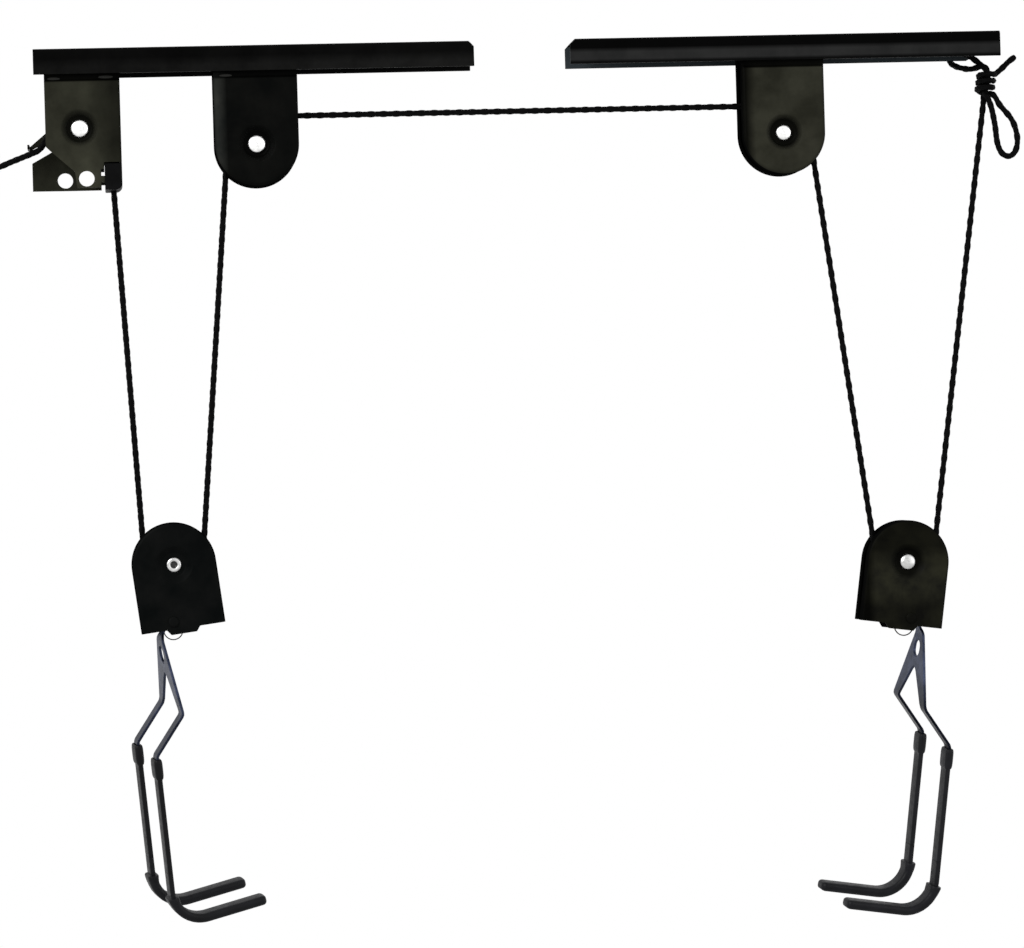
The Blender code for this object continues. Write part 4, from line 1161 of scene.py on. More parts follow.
def makeBlockShell(side, rear, material):
    face = fit["blockDepth"] / 2
    half = housing["tongueWidth"] / 2
    slim = half - 0.003
    bm = bmesh.new()
    spots = bothWays(housing["radius"] - housing["fold"], 0.022, half, 0.0095, 0.006, 0.003)
    footEdges = shellSurface(bm, face, housing["blockDrop"], spots)
    tongue = [e for e in footEdges if all(abs(v.co.x) < half + tiny for v in e.verts)]
    drop = housing["tongueDrop"]
    grow(bm, tongue, lambda co: Vector((co.x * slim / half, co.y, co.z - drop)))
    faceForward(bm)
    if rear:
        stretch(bm, y=-1.0)
        bmesh.ops.reverse_faces(bm, faces=bm.faces)
    piece = newPiece(f"{side}Block{'Rear' if rear else 'Front'}Shell", bm)
    thicken(piece, fit["sheet"], -1.0)
    easeEdges(piece, housing["edge"], 2, 50)
    spot = (-pin["offset"] * mirrorOf[side], -pin["drop"])
    low, high = (face - 0.004, face + 0.001) if rear else (-face - 0.001, -face + 0.004)
    cutAway(piece, block("pinTool", ringOutline(*spot, pin["radius"] + fit["gap"], 32), low, high))
    piece.data.transform(blockPlace[side])
    kind = "rear" if rear else "front"
    finishes = (material, housingPaint["side"], housingPaint["back"])
    dress(piece, f"{side}_block", "black_steel", finishes, f"{side}_block_{kind}_shell")
    markBehind(piece, -face + 0.0012, places[f"{side}BlockAxle"], housing["dishRadius"] + 0.001)


def stepUnderBar(bm, edges, y, low, joggle):
    # The pressed step below the bar: the sheet's front moves in and runs on up to the bar
    for share, drop in ((0.2, 0.0006), (0.6, 0.0007), (0.9, 0.0007), (1.0, 0.0006)):
        level = y + joggle * share

        def stepped(co, level=level, drop=drop):
            return Vector((co.x, max(co.y, level), co.z - drop))

        edges = grow(bm, edges, stepped)
    return grow(bm, edges, lambda co: Vector((co.x, co.y, low - housing["behindBar"])))


def turnIn(bm, edges, y, top):
    # Folds a run of edges from upright into the web that reaches the middle
    radius = housing["webFold"]
    start = -(top - radius)
    edges = grow(bm, edges, lambda co: Vector((co.x, co.y, start)))
    for a in quarter(6):
        back, down = y + radius * (1 - math.cos(a)), start - radius * math.sin(a)
        edges = grow(bm, edges, lambda co, b=back, d=down: Vector((co.x, b, d)))
    grow(bm, edges, lambda co: Vector((co.x, 0.0, co.z)))


def underBar(z0):
    # Heights above an axle: the bracket's web, its shoulder just under the bar, and where the step starts
    top = -fit["barSheet"] - fit["gap"] - z0
    shoulder = -bar["height"] - fit["gap"] - z0
    return top, shoulder, shoulder - housing["joggleHeight"]


def rivetTools(middle, top):
    tools = []
    for i in (-1, 1):
        hole = ringOutline(middle + i * bar["rivetSpacing"] / 2, 0.0, bar["rivetRadius"] + fit["gap"], 32)
        tools.append(block("rivetTool", hole, top - 0.006, top + 0.002, "Z"))
    return tools


def makeBracket(side, axle, material):
    # Inverted U: two pressed shells, stepped in under the bar, and a web between them
    face = fit["bracketDepth"] / 2
    top, shoulder, level = underBar(axle[1])
    inset = housing["radius"] - housing["fold"]
    ear = inset - housing["earInset"]
    bm = bmesh.new()
    shellSurface(bm, face, level, bothWays(inset, ear, 0.022, 0.016, 0.011, 0.0055))
    weld(bm)
    ends = [e for e in bm.edges if e.is_boundary and all(abs(v.co.z + level) < tiny for v in e.verts)]
    front = -face + housing["joggle"]
    edges = stepUnderBar(bm, ends, -face, -shoulder, housing["joggle"])
    edges = [e for e in edges if all(abs(v.co.x) < ear + tiny and abs(v.co.y - front) < tiny for v in e.verts)]
    turnIn(bm, edges, front, top)
    faceForward(bm)
    bmesh.ops.mirror(bm, geom=bm.verts[:] + bm.edges[:] + bm.faces[:], axis="Y", merge_dist=0.00001)
    stretch(bm, z=-1.0)
    faceForward(bm)
    piece = newPiece(f"{side}PulleyBracket", bm)
    thicken(piece, fit["sheet"], -1.0)
    easeEdges(piece, housing["edge"], 2, 50)
    cutAway(piece, *rivetTools(0.0, top))
    piece.data.transform(standing(*axle))
    finishes = (material, housingPaint["side"], housingPaint["back"])
    dress(piece, "ceiling_frame", "black_steel", finishes, f"{side}_pulley_bracket")
    markBehind(piece, front + 0.0002, axle, housing["dishRadius"] + 0.001)


pin = {
    "offset": 0.007,
    "drop": 0.044,
    "radius": 0.0025,
    "headRadius": 0.0042,
    "headHeight": 0.0014,
    "overhang": 0.0035,
    "ringRadius": 0.0075,
    "wire": 0.0006,
    "wireShare": 0.68,
}
housingPaint = {
    # The pulley brackets are lit and shaded copies of one black paint; tones paint a lighter left edge on the
    # left one, a darker left edge on the right one, the shadow under the bar and shade behind the front face
    "leftPulley": paintFinish(
        "leftPulleyPaint",
        (0.0016, 0.0018, 0.0017),
        (0.0038, 0.0039, 0.0034),
        [
            ("X", -0.2235, -0.2165, 7.0, 1.0),
            ("Z", -0.0262, -0.0250, 1.0, 0.3),
            ("Y", -0.0170, -0.0125, 1.0, 0.35),
        ],
    ),
    "rightPulley": paintFinish(
        "rightPulleyPaint",
        (0.0150, 0.0150, 0.0105),
        (0.0280, 0.0280, 0.0200),
        [
            ("X", 0.1930, 0.2000, 0.12, 1.0),
            ("Z", -0.0262, -0.0250, 1.0, 0.1),
            ("Y", -0.0170, -0.0130, 1.0, 0.10),
        ],
    ),
    # The block shells are lit and shaded copies of one paint too; the right one has painted shade at its left
    # edge, its upper part, its bottom and behind the front face
    "leftBlock": paintFinish("leftBlockPaint", (0.0018, 0.0023, 0.0023), (0.0044, 0.0047, 0.0045)),
    "rightBlock": paintFinish(
        "rightBlockPaint",
        (0.0070, 0.0070, 0.0056),
        (0.0220, 0.0220, 0.0135),
        [
            ("X", 0.2800, 0.2860, 0.15, 1.0),
            ("Z", -0.4260, -0.4080, 1.0, 0.28),
            ("Z", -0.4560, -0.4420, 0.5, 1.0),
            ("Y", -0.0150, -0.0120, 1.0, 0.25),
        ],
    ),
    # Painted shade for the sides and the faces behind the front face, and painted light for the back faces that
    # face away from the lamps
    "side": paintFinish("paintedSideShade", (0.0018, 0.0019, 0.0019), (0.0036, 0.0036, 0.0034), (), 0.0),
    "back": paintFinish("paintedBackLight", (0.0090, 0.0090, 0.0074), (0.0200, 0.0200, 0.0160)),
}
makeBracket("left", places["leftPulleyAxle"], housingPaint["leftPulley"])
makeBracket("right", places["rightPulleyAxle"], housingPaint["rightPulley"])
for side in ("left", "right"):
    for rear in (False, True):
        makeBlockShell(side, rear, housingPaint[f"{side}Block"])
print("housings ready")

lock = {
    "left": fit["lockLeft"],
    "right": fit["lockRight"],
    "bottom": 0.0465,
    "footLeft": 0.038,
    "footTop": 0.0245,
    "footRight": 0.0157,
    "chamferStart": (-0.0235, -0.0170),
    "chamferEnd": (-0.0045, -0.0340),
    "chamferFoot": -0.003,
    "slotTop": 0.0055,
    "slotWidth": 0.0092,
    "slotInner": -0.0205,
    "eyeRadius": 0.006,
    "leftEye": (-0.0125, -0.0385),
    "rightEye": (0.0045, -0.0395),
    "farEye": (0.0045, -0.0370),
    "farEyeRadius": 0.0066,
    "slitTop": 0.0322,
    "crease": ((-0.0325, -0.0252), (-0.0183, -0.0386)),
    "creaseDrop": 0.0022,
    "wallTop": 0.030,
    "fold": 0.0024,
    "earFold": 0.0018,
    "headInset": 0.004,
    "edge": 0.0002,
}


def fillPanel(bm, y, outline, *holes):
    # A flat panel in X and Z with holes; gives its loops of edges
    loops = [addLoop(bm, [(x, y, z) for x, z in loop]) for loop in (outline, *holes)]
    edges = [edge for _, part in loops for edge in part]
    bmesh.ops.triangle_fill(bm, use_beauty=True, use_dissolve=False, edges=edges)
    return loops


def runOf(edges, test):
    return [edge for edge in edges if edge.is_valid and all(test(v.co) for v in edge.verts)]


def creaseFoot(part):
    # Bends the corner of the rear plate's foot a little along a line
    (x, z), (farX, farZ) = lock["crease"]
    away = Vector((-(z - farZ), 0.0, -(farX - x))).normalized()
    on = Vector((x, 0.0, z))
    geom = part.verts[:] + part.edges[:] + part.faces[:]
    bmesh.ops.bisect_plane(part, geom=geom, plane_co=on, plane_no=away, dist=0.00001)
    for vert in part.verts:
        past = (Vector((vert.co.x, 0.0, vert.co.z)) - on).dot(away)
        if past > 0.0 and vert.co.x < -lock["left"] * 0.2:
            vert.co.y += lock["creaseDrop"] * past / 0.015


def makeLock(material):
    half = fit["bracketDepth"] / 2
    top, shoulder, level = underBar(places["lockAxle"][1])
    fold, earFold = lock["fold"], lock["earFold"]
    right, inset = lock["right"], lock["headInset"]
    wallX = right - fold
    notchTop = -guide["top"] + fit["gap"] + 0.0008
    tabTop = -guide["tabDrop"] + guide["tabHeight"] / 2
    tabLow = tabTop - guide["tabHeight"]
    tabX = guide["left"] + 0.003
    notch = [
        (lock["footRight"], -lock["bottom"]),
        (lock["footRight"], tabLow),
        (tabX, tabLow),
        (tabX, tabTop),
        (lock["footRight"], tabTop),
        (lock["footRight"], -lock["slitTop"]),
        (guide["left"] - 0.0003, -lock["slitTop"]),
        (guide["left"] - 0.0003, notchTop),
        (wallX, notchTop),
        (wallX, lock["wallTop"]),
        (right, lock["wallTop"] + 0.0012),
    ]
    head = [(right, level), (right - inset, level), (inset - lock["left"], level), (-lock["left"], level)]
    startX, startZ = lock["chamferStart"]
    front = [(-lock["left"], startZ + lock["left"] + startX), lock["chamferStart"], lock["chamferEnd"]]
    front += [(lock["chamferFoot"], -lock["bottom"]), *notch, *head]
    slotLow = Vector((lock["slotInner"], -lock["slotTop"] - lock["slotWidth"]))
    slope = (slotLow - Vector((-lock["footLeft"], -lock["footTop"]))).normalized()
    across = Vector((-slope.y, slope.x)) * lock["slotWidth"]
    lip = Vector((-lock["footLeft"] + 0.0015, -lock["footTop"] + 0.0018)) + across
    slotEnd = slotLow + across / 2
    start = math.degrees(math.atan2(-across.y, -across.x))
    roundEnd = arc(slotEnd.x, slotEnd.y, lock["slotWidth"] / 2, start, start + 180, 20)
    lipTop = (lip.x + earFold, lip.y + 0.0036)
    lipLow = (lip.x + earFold, lip.y + 0.0001)
    rear = [(-lock["left"], -0.0005), lipTop, lipLow]
    rear += [*roundEnd[::-1], (-lock["footLeft"], -lock["footTop"]), (-lock["footLeft"], -lock["bottom"])]
    rear += [*notch, *head]
    bm = bmesh.new()
    circle = housing["dishRadius"] + housing["dishMargin"]
    for sign, outline, eyes in ((1, front, ["rightEye"]), (-1, rear, ["leftEye", "farEye"])):
        part = bmesh.new()
        holes = [ringOutline(*lock[eye], lock.get(f"{eye}Radius", lock["eyeRadius"]), 48) for eye in eyes]
        loops = fillPanel(part, -half, outline, ringOutline(0.0, 0.0, circle, 72), *holes)
        pressDish(part, loops[1][1], circle, half)
        rim = loops[0][1]
        low, high = notchTop - tiny, lock["wallTop"] + tiny
        wall = runOf(rim, lambda co: abs(co.x - wallX) < tiny and low < co.z < high)
        crown = runOf(rim, lambda co: abs(co.z - level) < tiny)
        if sign < 0:
            creaseFoot(part)
            ear = runOf(rim, lambda co: abs(co.x - lipTop[0]) < tiny and co.z < lipTop[1] + tiny)
            for a in quarter(5):
                x, y = lip.x + earFold * (1 - math.sin(a)), -half + earFold * (1 - math.cos(a))
                ear = grow(part, ear, lambda co, x=x, y=y: Vector((x, y, co.z)))
            grow(part, ear, lambda co: Vector((co.x, 0.004, co.z)))
        for a in quarter(6):
            reach, y = fold * math.sin(a), -half + fold * (1 - math.cos(a))
            wall = grow(part, wall, lambda co, r=reach, y=y: Vector((wallX + r, y, co.z)))
        grow(part, wall, lambda co: Vector((co.x, 0.0, co.z)))
        stretch(part, z=-1.0)
        crown = stepUnderBar(part, crown, -half, -shoulder, housing["joggle"])
        inner = runOf(crown, lambda co: inset - lock["left"] - tiny < co.x < right - inset + tiny)
        turnIn(part, inner, -half + housing["joggle"], top)
        stretch(part, y=sign, z=-1.0)
        copy = bpy.data.meshes.new("lockPart")
        part.to_mesh(copy)
        part.free()
        bm.from_mesh(copy)
        bpy.data.meshes.remove(copy)
    faceForward(bm)
    piece = newPiece("lockBracket", bm)
    thicken(piece, fit["sheet"], -1.0)
    easeEdges(piece, lock["edge"], 2, 50)
    cutAway(piece, *rivetTools((right - lock["left"]) / 2, top))
    piece.data.transform(standing(*places["lockAxle"]))
    dress(piece, "ceiling_frame", "black_steel", material, "lock_bracket")


def makeGuide(material):
    x0, z0 = places["lockAxle"]
    half = fit["bracketDepth"] / 2
    left, rightX = x0 + guide["left"], x0 + lock["right"]
    topZ, lowZ = z0 - guide["top"], z0 - guide["bottom"]
    corners = [(left, topZ), (left, lowZ), (rightX, lowZ), (rightX, topZ)]
    outline = closedRounded(corners, [0.0008, 0.0008, guide["corner"], 0.0008])
    piece = block("lockRopeGuide", outline, -half - guide["proud"], half + guide["proud"])
    lower, upper = lineAt(*lockLine, lowZ - 0.002), lineAt(*lockLine, topZ + 0.002)
    lean = Vector(upper) - Vector(lower)
    run = lean.length
    flare = guide["hole"] + 0.0012
    bore = [(0.0, 0.0), (flare, 0.0), (flare, 0.0022), (guide["hole"], 0.0042)]
    bore += [(guide["hole"], run - 0.0042), (flare, run - 0.0022), (flare, run), (0.0, run)]
    turn = standing(*lower, math.atan2(lean.x, lean.y))
    tools = [lathe("boreTool", bore, turn, 48, upright=True)]
    for sign in (-1, 1):
        low, high = sorted((sign * (half + fit["gap"]), sign * (half - fit["sheet"] - fit["gap"])))
        zMiddle, reach = z0 - guide["tabDrop"], guide["tabHeight"] / 2 + fit["gap"]
        outside, inside = left - 0.001, left + 0.003 + fit["gap"]
        notch = [(outside, zMiddle - reach), (inside, zMiddle - reach)]
        notch += [(inside, zMiddle + reach), (outside, zMiddle + reach)]
        tools.append(block("tabTool", notch, low, high))
    cutAway(piece, *tools)
    easeEdges(piece, guide["edge"], 3, 50)
    dress(piece, "ceiling_frame", "black_plastic", material, "lock_rope_guide")


bead = {
    "height": 0.0012,
    "proud": 0.0005,
    "lockLeft": (-0.3505, -0.0233, 0.0100),
    "lockRight": (-0.3102, -0.0225, 0.0115),
    "leftPulley": (-0.2169, -0.0233, 0.0100),
}


def makeBead(name, spot, material):
    # A small low bead on the step under the bar
    x, z, length = spot
    bm = bmesh.new()
    bmesh.ops.create_uvsphere(bm, u_segments=32, v_segments=16, radius=1.0)
    stretch(bm, length / 2, bead["proud"], bead["height"])
    y = -fit["bracketDepth"] / 2 + housing["joggle"]
    piece = newPiece(name, bm, Matrix.Translation((x, y, z)))
    piece.data.shade_smooth()
    dress(piece, "ceiling_frame", "black_steel", material)


# The lock's tones are painted light and shade: a painted shadow under the bar, the right part darker, the lower
# part lighter, shade behind the front face and painted light on the back
lockPaint = paintFinish(
    "lockPaint",
    (0.0150, 0.0152, 0.0105),
    (0.0270, 0.0272, 0.0190),
    [
        ("Z", -0.0262, -0.0250, 1.0, 0.06),
        ("X", -0.3260, -0.3060, 1.0, 0.42),
        ("Z", -0.0880, -0.0760, 1.5, 1.0),
        ("Y", -0.0170, -0.0125, 1.0, 0.16),
        ("Y", 0.0, 0.004, 1.0, 3.3),
    ],
)
makeLock(lockPaint)
makeGuide(plasticFinish("guidePlastic"))
# The beads' lighter paint is a painted highlight on the step under the bar
beadHighlightPaint = paintFinish("beadHighlightPaint", (0.0150, 0.0150, 0.0140), (0.0280, 0.0280, 0.0260))
for key in ("lockLeft", "lockRight", "leftPulley"):
    makeBead(f"{key}Bead", bead[key], beadHighlightPaint)
print("rope lock ready")

axle = {
    "headRadius": 0.007,
    "smallHead": 0.0062,
    "headHeight": 0.0028,
    "tailRadius": 0.0058,
    "tailHeight": 0.0016,
    "tailHole": 0.0025,
    "tailDepth": 0.006,
}


def makeWheel(name, node, body, place, material):
    root = wheel["pitchRadius"] - rope["radius"] - fit["gap"]
    rim, web, hub = wheel["rimWidth"] / 2, wheel["webWidth"] / 2, fit["hubWidth"] / 2
    bore = fit["axleRadius"] + fit["gap"]
    groove = []
    for i in range(11):  # the groove's round bottom, a little wider than the rope
        a = math.radians(-62 + 124 * i / 10)
        r = rope["radius"] + fit["gap"]
        groove.append((wheel["pitchRadius"] - r * math.cos(a), r * math.sin(a)))
    profile = [(bore, -hub + 0.0004), (bore + 0.0004, -hub), (wheel["hubRadius"] - 0.0006, -hub)]
    profile += [(wheel["hubRadius"], -hub + 0.0006), (wheel["hubRadius"] + 0.0004, -web - 0.0008)]
    profile += [(wheel["hubRadius"] + 0.0012, -web), (root - 0.0034, -web), (root - 0.0026, -web - 0.0006)]
    profile += [(root - 0.0019, -rim + 0.0004), (root - 0.0014, -rim), (wheel["rimRadius"] - 0.0006, -rim)]
    profile += [(wheel["rimRadius"], -rim + 0.0006), (wheel["rimRadius"] - 0.0003, -rim + 0.0014)]
    profile += groove
    half = [p for p in profile if p[1] <= tiny]
    full = half + [(r, -d) for r, d in reversed(half) if d < -tiny]
    piece = lathe(name, full, place, 80, closed=True)
    shadeByAngle(piece, 40)
    dress(piece, body, "black_plastic", material, node)


def makeAxle(name, node, body, place, headRadius, material, headFront=True):
    # A semi-tubular rivet: domed head at one end, rolled tail at the other
    seat = seatDepth + fit["gap"]
    radius, tail = fit["axleRadius"], axle["tailRadius"]
    top = seat + axle["headHeight"]
    profile = [(0.0, -top)]
    for a in quarter(12):
        dome = (axle["headHeight"] - 0.0004) * math.cos(a)
        profile.append((headRadius * math.sin(a), -seat - 0.0004 - dome))
    profile += [(headRadius, -seat - 0.0001), (headRadius - 0.0002, -seat), (radius, -seat), (radius, seat)]
    profile += [(tail - 0.0002, seat), (tail, seat + 0.0003)]
    middle = (tail + axle["tailHole"]) / 2
    wide = (tail - axle["tailHole"]) / 2
    for i in range(1, 12):
        a = math.pi * i / 12
        lift = 0.0003 + (axle["tailHeight"] - 0.0003) * math.sin(a)
        profile.append((middle + wide * math.cos(a), seat + lift))
    profile += [(axle["tailHole"], seat), (axle["tailHole"], seat + axle["tailHeight"] - axle["tailDepth"])]
    profile += [(0.0, seat + axle["tailHeight"] - axle["tailDepth"] - 0.001)]
    turn = place if headFront else place @ Matrix.Rotation(math.pi, 4, "Z")
    piece = lathe(name, profile, turn, 72)
    dress(piece, body, "zinc_steel", (material, tailShade), node)
    back = turn.inverted()
    for face in piece.data.polygons:  # the inside of the tail's hole takes painted shade
        spot = back @ face.center
        if spot.y > seat - axle["tailDepth"] and math.hypot(spot.x, spot.z) < axle["tailHole"] + 0.0001:
            face.material_index = 1
    shadeByAngle(piece, 40)


def pinPlace(side):
    return blockPlace[side] @ Matrix.Translation((-pin["offset"] * mirrorOf[side], 0.0, -pin["drop"]))


def makePin(side, material):
    face = fit["blockDepth"] / 2 + fit["gap"]
    radius, head, tall = pin["radius"], pin["headRadius"], pin["headHeight"]
    end = face + pin["overhang"]
    profile = [(0.0, -face - tall), (head * 0.55, -face - tall)]
    for a in quarter(6):
        profile.append((head * (0.55 + 0.45 * math.sin(a)), -face - 0.0002 - (tall - 0.0002) * math.cos(a)))
    profile += [(head, -face), (radius, -face), (radius, end - 0.0005), (radius - 0.0005, end), (0.0, end)]
    piece = lathe(f"{side}HookPin", profile, pinPlace(side), 48)
    spot = pinPlace(side).translation
    ring = ringOutline(pin["ringRadius"], 0.0, pin["wire"] + fit["gap"], 12)
    middle = Matrix.Translation((spot.x, face + pin["overhang"] / 2, spot.z - pin["ringRadius"]))
    cutAway(piece, lathe("ringTool", ring, middle, 64, closed=True))
    shadeByAngle(piece, 40)
    dress(piece, f"{side}_block", "zinc_steel", material, f"{side}_hook_pin")
    makeRing(side, middle)


def makeRing(side, middle):
    # A split ring: two turns of wire lying side by side, with its ends let in
    wireRadius = pin["wire"] * pin["wireShare"]
    points = []
    turns, steps = 2.0, 128
    for i in range(steps + 1):
        a = 2 * math.pi * turns * i / steps + math.radians(40)
        over = 0.5 - 0.5 * math.cos(math.pi * min(1.0, max(0.0, (i / steps - 0.42) / 0.16)))
        y = wireRadius * (2 * over - 1)  # from the one side to the other in mid-run
        points.append((pin["ringRadius"] * math.cos(a), y, pin["ringRadius"] * math.sin(a)))
    mesh = tubeMesh(f"{side}Ring", points, wireRadius * 1.1, 4, True)
    mesh.transform(middle)
    piece = linked(f"{side}PinRing", mesh)
    mesh.shade_smooth()
    dress(piece, f"{side}_block", "zinc_steel", shadedRingSteel, f"{side}_pin_ring")


wheelPlastic = plasticFinish("wheelPlastic")
tailShade = zincFinish("tailShade", shade=zinc["tailShade"])
shadedRingSteel = zincFinish("shadedRingSteel", shade=zinc["ringShade"])
stand = standing(*places["lockAxle"])
makeWheel("lockWheel", "lock_sheave", "lock_wheel", stand, wheelPlastic)
lockZinc = zincFinish("lockAxleZinc", places["lockAxle"])
makeAxle("lockAxleRivet", "lock_axle", "ceiling_frame", stand, axle["headRadius"], lockZinc)
for side in ("left", "right"):
    spot = places[f"{side}PulleyAxle"]
    stand, seated = standing(*spot), blockPlace[side]
    rivetZinc = zincFinish(f"{side}PulleyZinc", spot)
    head = axle["headRadius"] if side == "left" else axle["smallHead"]
    makeWheel(f"{side}PulleyWheel", f"{side}_pulley_sheave", f"{side}_pulley_wheel", stand, wheelPlastic)
    makeAxle(f"{side}PulleyRivet", f"{side}_pulley_axle", "ceiling_frame", stand, head, rivetZinc)
    blockZinc = zincFinish(f"{side}BlockZinc", places[f"{side}BlockAxle"], zinc["blockShade"])
    makeWheel(f"{side}BlockWheel", f"{side}_block_sheave", f"{side}_block_wheel", seated, wheelPlastic)
    name, node, headFront = f"{side}BlockRivet", f"{side}_block_axle", side == "right"
    makeAxle(name, node, f"{side}_block", seated, axle["smallHead"], blockZinc, headFront)
    makePin(side, housingPaint[f"{side}Block"])
print("wheels, axles and pins ready")

hook = {
    "sheet": 0.0022,
    "armWidth": 0.010,
    "armSpacing": 0.0566,
    "eyeRadius": 0.0050,
    "eyeWidth": 0.008,
    "neck": (-0.0110, -0.0125),
    "neckWidth": 0.014,
    "bendOut": (-0.0017, -0.0683),
    "bendIn": (-0.0231, -0.1002),
    "corner": (-0.0090, -0.2368),
    "tip": (0.0624, -0.2220),
    "cornerRadius": 0.024,
    "bendRadius": 0.0065,
    "ringSteps": 36,
    "crotch": -0.0400,
    "slotTop": -0.0190,
    "slotBottom": -0.0320,
    "slotWidth": 0.0110,
    "leftTurn": (math.radians(8.7), math.radians(-1.2), math.radians(14.8)),
    "rightTurn": (math.radians(9.5), math.radians(-2.0), math.radians(10.5)),
    "edge": 0.00045,
    # edgeShade is painted shade on the strip's edges; the tones paint shade on the fork below its bend
    "edgeShade": 0.15,
    "leftTone": ("Z", -0.530, -0.505, 0.46, 1.0),
    "rightTone": ("Z", -0.532, -0.514, 0.18, 1.0),
}
sleeve = {
    "wall": 0.0006,
    "collarWall": 0.0020,
    "collarLength": 0.016,
    # (distance from an end of the collar or cuff, share of its wall)
    "collarTop": ((0.0004, 0.0), (0.0002, 0.45), (0.0006, 0.70), (0.0016, 0.88), (0.0034, 0.98), (0.0060, 1.0)),
    "collarFoot": ((-0.0060, 1.0), (-0.0030, 0.96), (-0.0012, 0.84), (0.0, 0.62)),
    "gripWall": 0.0023,
    "cuffWall": 0.0031,
    "cuffLength": 0.006,
    "cuffLip": ((0.0, 0.55), (0.0002, 0.9), (0.0010, 1.0), (0.0030, 0.93)),
    "cuffEase": 0.0012,
    "endRound": 0.0012,
    "step": 0.0025,
    "gripStep": 0.002,
    "gripEnd": 0.0025,
    "gripRun": 0.030,
    "skirt": {"Front": 0.020, "Rear": 0.015},
    "around": 6,
}


def eyeSettle():
    # How far the eye drops on its pin until it touches, with the hook turned as it hangs
    free = hook["eyeRadius"] - pin["radius"] - fit["gap"]
    turns = (hook["leftTurn"], hook["rightTurn"])
    sway = hook["eyeWidth"] / 2 * math.tan(max(turn[2] for turn in turns))
    dip = hook["eyeWidth"] / 2 * math.tan(max(turn[0] for turn in turns))
    return math.sqrt(free * free - sway * sway) - dip


def hookPath():
    ring = arc(0.0, -eyeSettle(), hook["eyeRadius"] + hook["sheet"] / 2, -120, 160, hook["ringSteps"])
    run = roundedPath(
        [ring[-1], hook["neck"], hook["bendOut"], hook["bendIn"], hook["corner"], hook["tip"]],
        [0.010, hook["bendRadius"], hook["bendRadius"], hook["cornerRadius"]],
    )
    return ring[:-1] + run


class StripLine:
    # The middle line of the hook's strip: places and normals by distance along it
    def __init__(self, path):
        self.points = [Vector(p) for p in path]
        self.runs = [0.0]
        for a, b in zip(self.points, self.points[1:]):
            self.runs.append(self.runs[-1] + (b - a).length)
        self.total = self.runs[-1]
        self.normals = []
        for i in range(len(self.points)):
            along = self.points[min(i + 1, len(self.points) - 1)] - self.points[max(i - 1, 0)]
            along.normalize()
            self.normals.append(Vector((-along.y, along.x)))

    def at(self, s):
        index = 0
        while index < len(self.runs) - 2 and self.runs[index + 1] < s:
            index += 1
        share = (s - self.runs[index]) / max(1e-9, self.runs[index + 1] - self.runs[index])
        place = self.points[index] + (self.points[index + 1] - self.points[index]) * share
        inside = min(1.0, max(0.0, share))
        normal = self.normals[index].lerp(self.normals[index + 1], inside).normalized()
        return place, normal

    def reach(self, z, after=0.0):
        # The distance along at which the line comes down to a height
        for i, (a, b) in enumerate(zip(self.points, self.points[1:])):
            if self.runs[i] >= after and a.y >= z > b.y:
                return self.runs[i] + (self.runs[i + 1] - self.runs[i]) * (a.y - z) / (a.y - b.y)
        return self.total


def forkRows(line):
    # Stations of the fork: distance along, inner and outer edge of its right half
    arm = hook["armSpacing"] / 2
    outer, inner = arm + hook["armWidth"] / 2, arm - hook["armWidth"] / 2
    ringEnd = line.runs[hook["ringSteps"]]
    down = {key: line.reach(hook[key], ringEnd) for key in ("slotTop", "slotBottom", "crotch")}
    neck = line.reach(hook["neck"][1], ringEnd)
    shoulder = line.reach(hook["bendOut"][1] + 0.0004, ringEnd)
    eye, throat = hook["eyeWidth"] / 2, hook["neckWidth"] / 2
    spots = {round(s, 6) for s in line.runs if s <= ringEnd or s > shoulder}
    for start, end, count in (
        (ringEnd, neck, 8),
        (neck, down["slotTop"], 5),
        (down["slotBottom"], down["crotch"], 6),
        (down["crotch"], shoulder, 16),
    ):
        for i in range(count + 1):
            spots.add(round(start + (end - start) * i / count, 6))
    middle = (down["slotTop"] + down["slotBottom"]) / 2
    half = (down["slotBottom"] - down["slotTop"]) / 2
    turned = hook["slotWidth"] / 2
    for a in (0.0, *quarter(8)):
        spots.add(round(down["slotTop"] + turned * (1 - math.cos(a)), 6))
        spots.add(round(down["slotBottom"] - turned * (1 - math.cos(a)), 6))
    rows = []
    for s in sorted(spots):
        if s <= neck - 0.004:
            edge = eye
        elif s <= neck:
            t = (s - neck + 0.004) / 0.004
            edge = eye + (throat - eye) * t * t * (3 - 2 * t)
        elif s <= shoulder:
            edge = throat + (outer - throat) * (s - neck) / (shoulder - neck)
        else:
            edge = outer
        away = abs(s - middle)
        if away < half - tiny:
            past = max(0.0, away - (half - turned))
            gapHalf = math.sqrt(max(0.0, turned * turned - past * past))
        elif s <= down["crotch"] + tiny:
            gapHalf = 0.0
        elif s <= shoulder:
            t = (s - down["crotch"]) / (shoulder - down["crotch"])
            gapHalf = 0.002 * min(1.0, t * 12) + (inner - 0.002) * t
        else:
            gapHalf = inner
        rows.append((s, gapHalf, edge))
    return rows


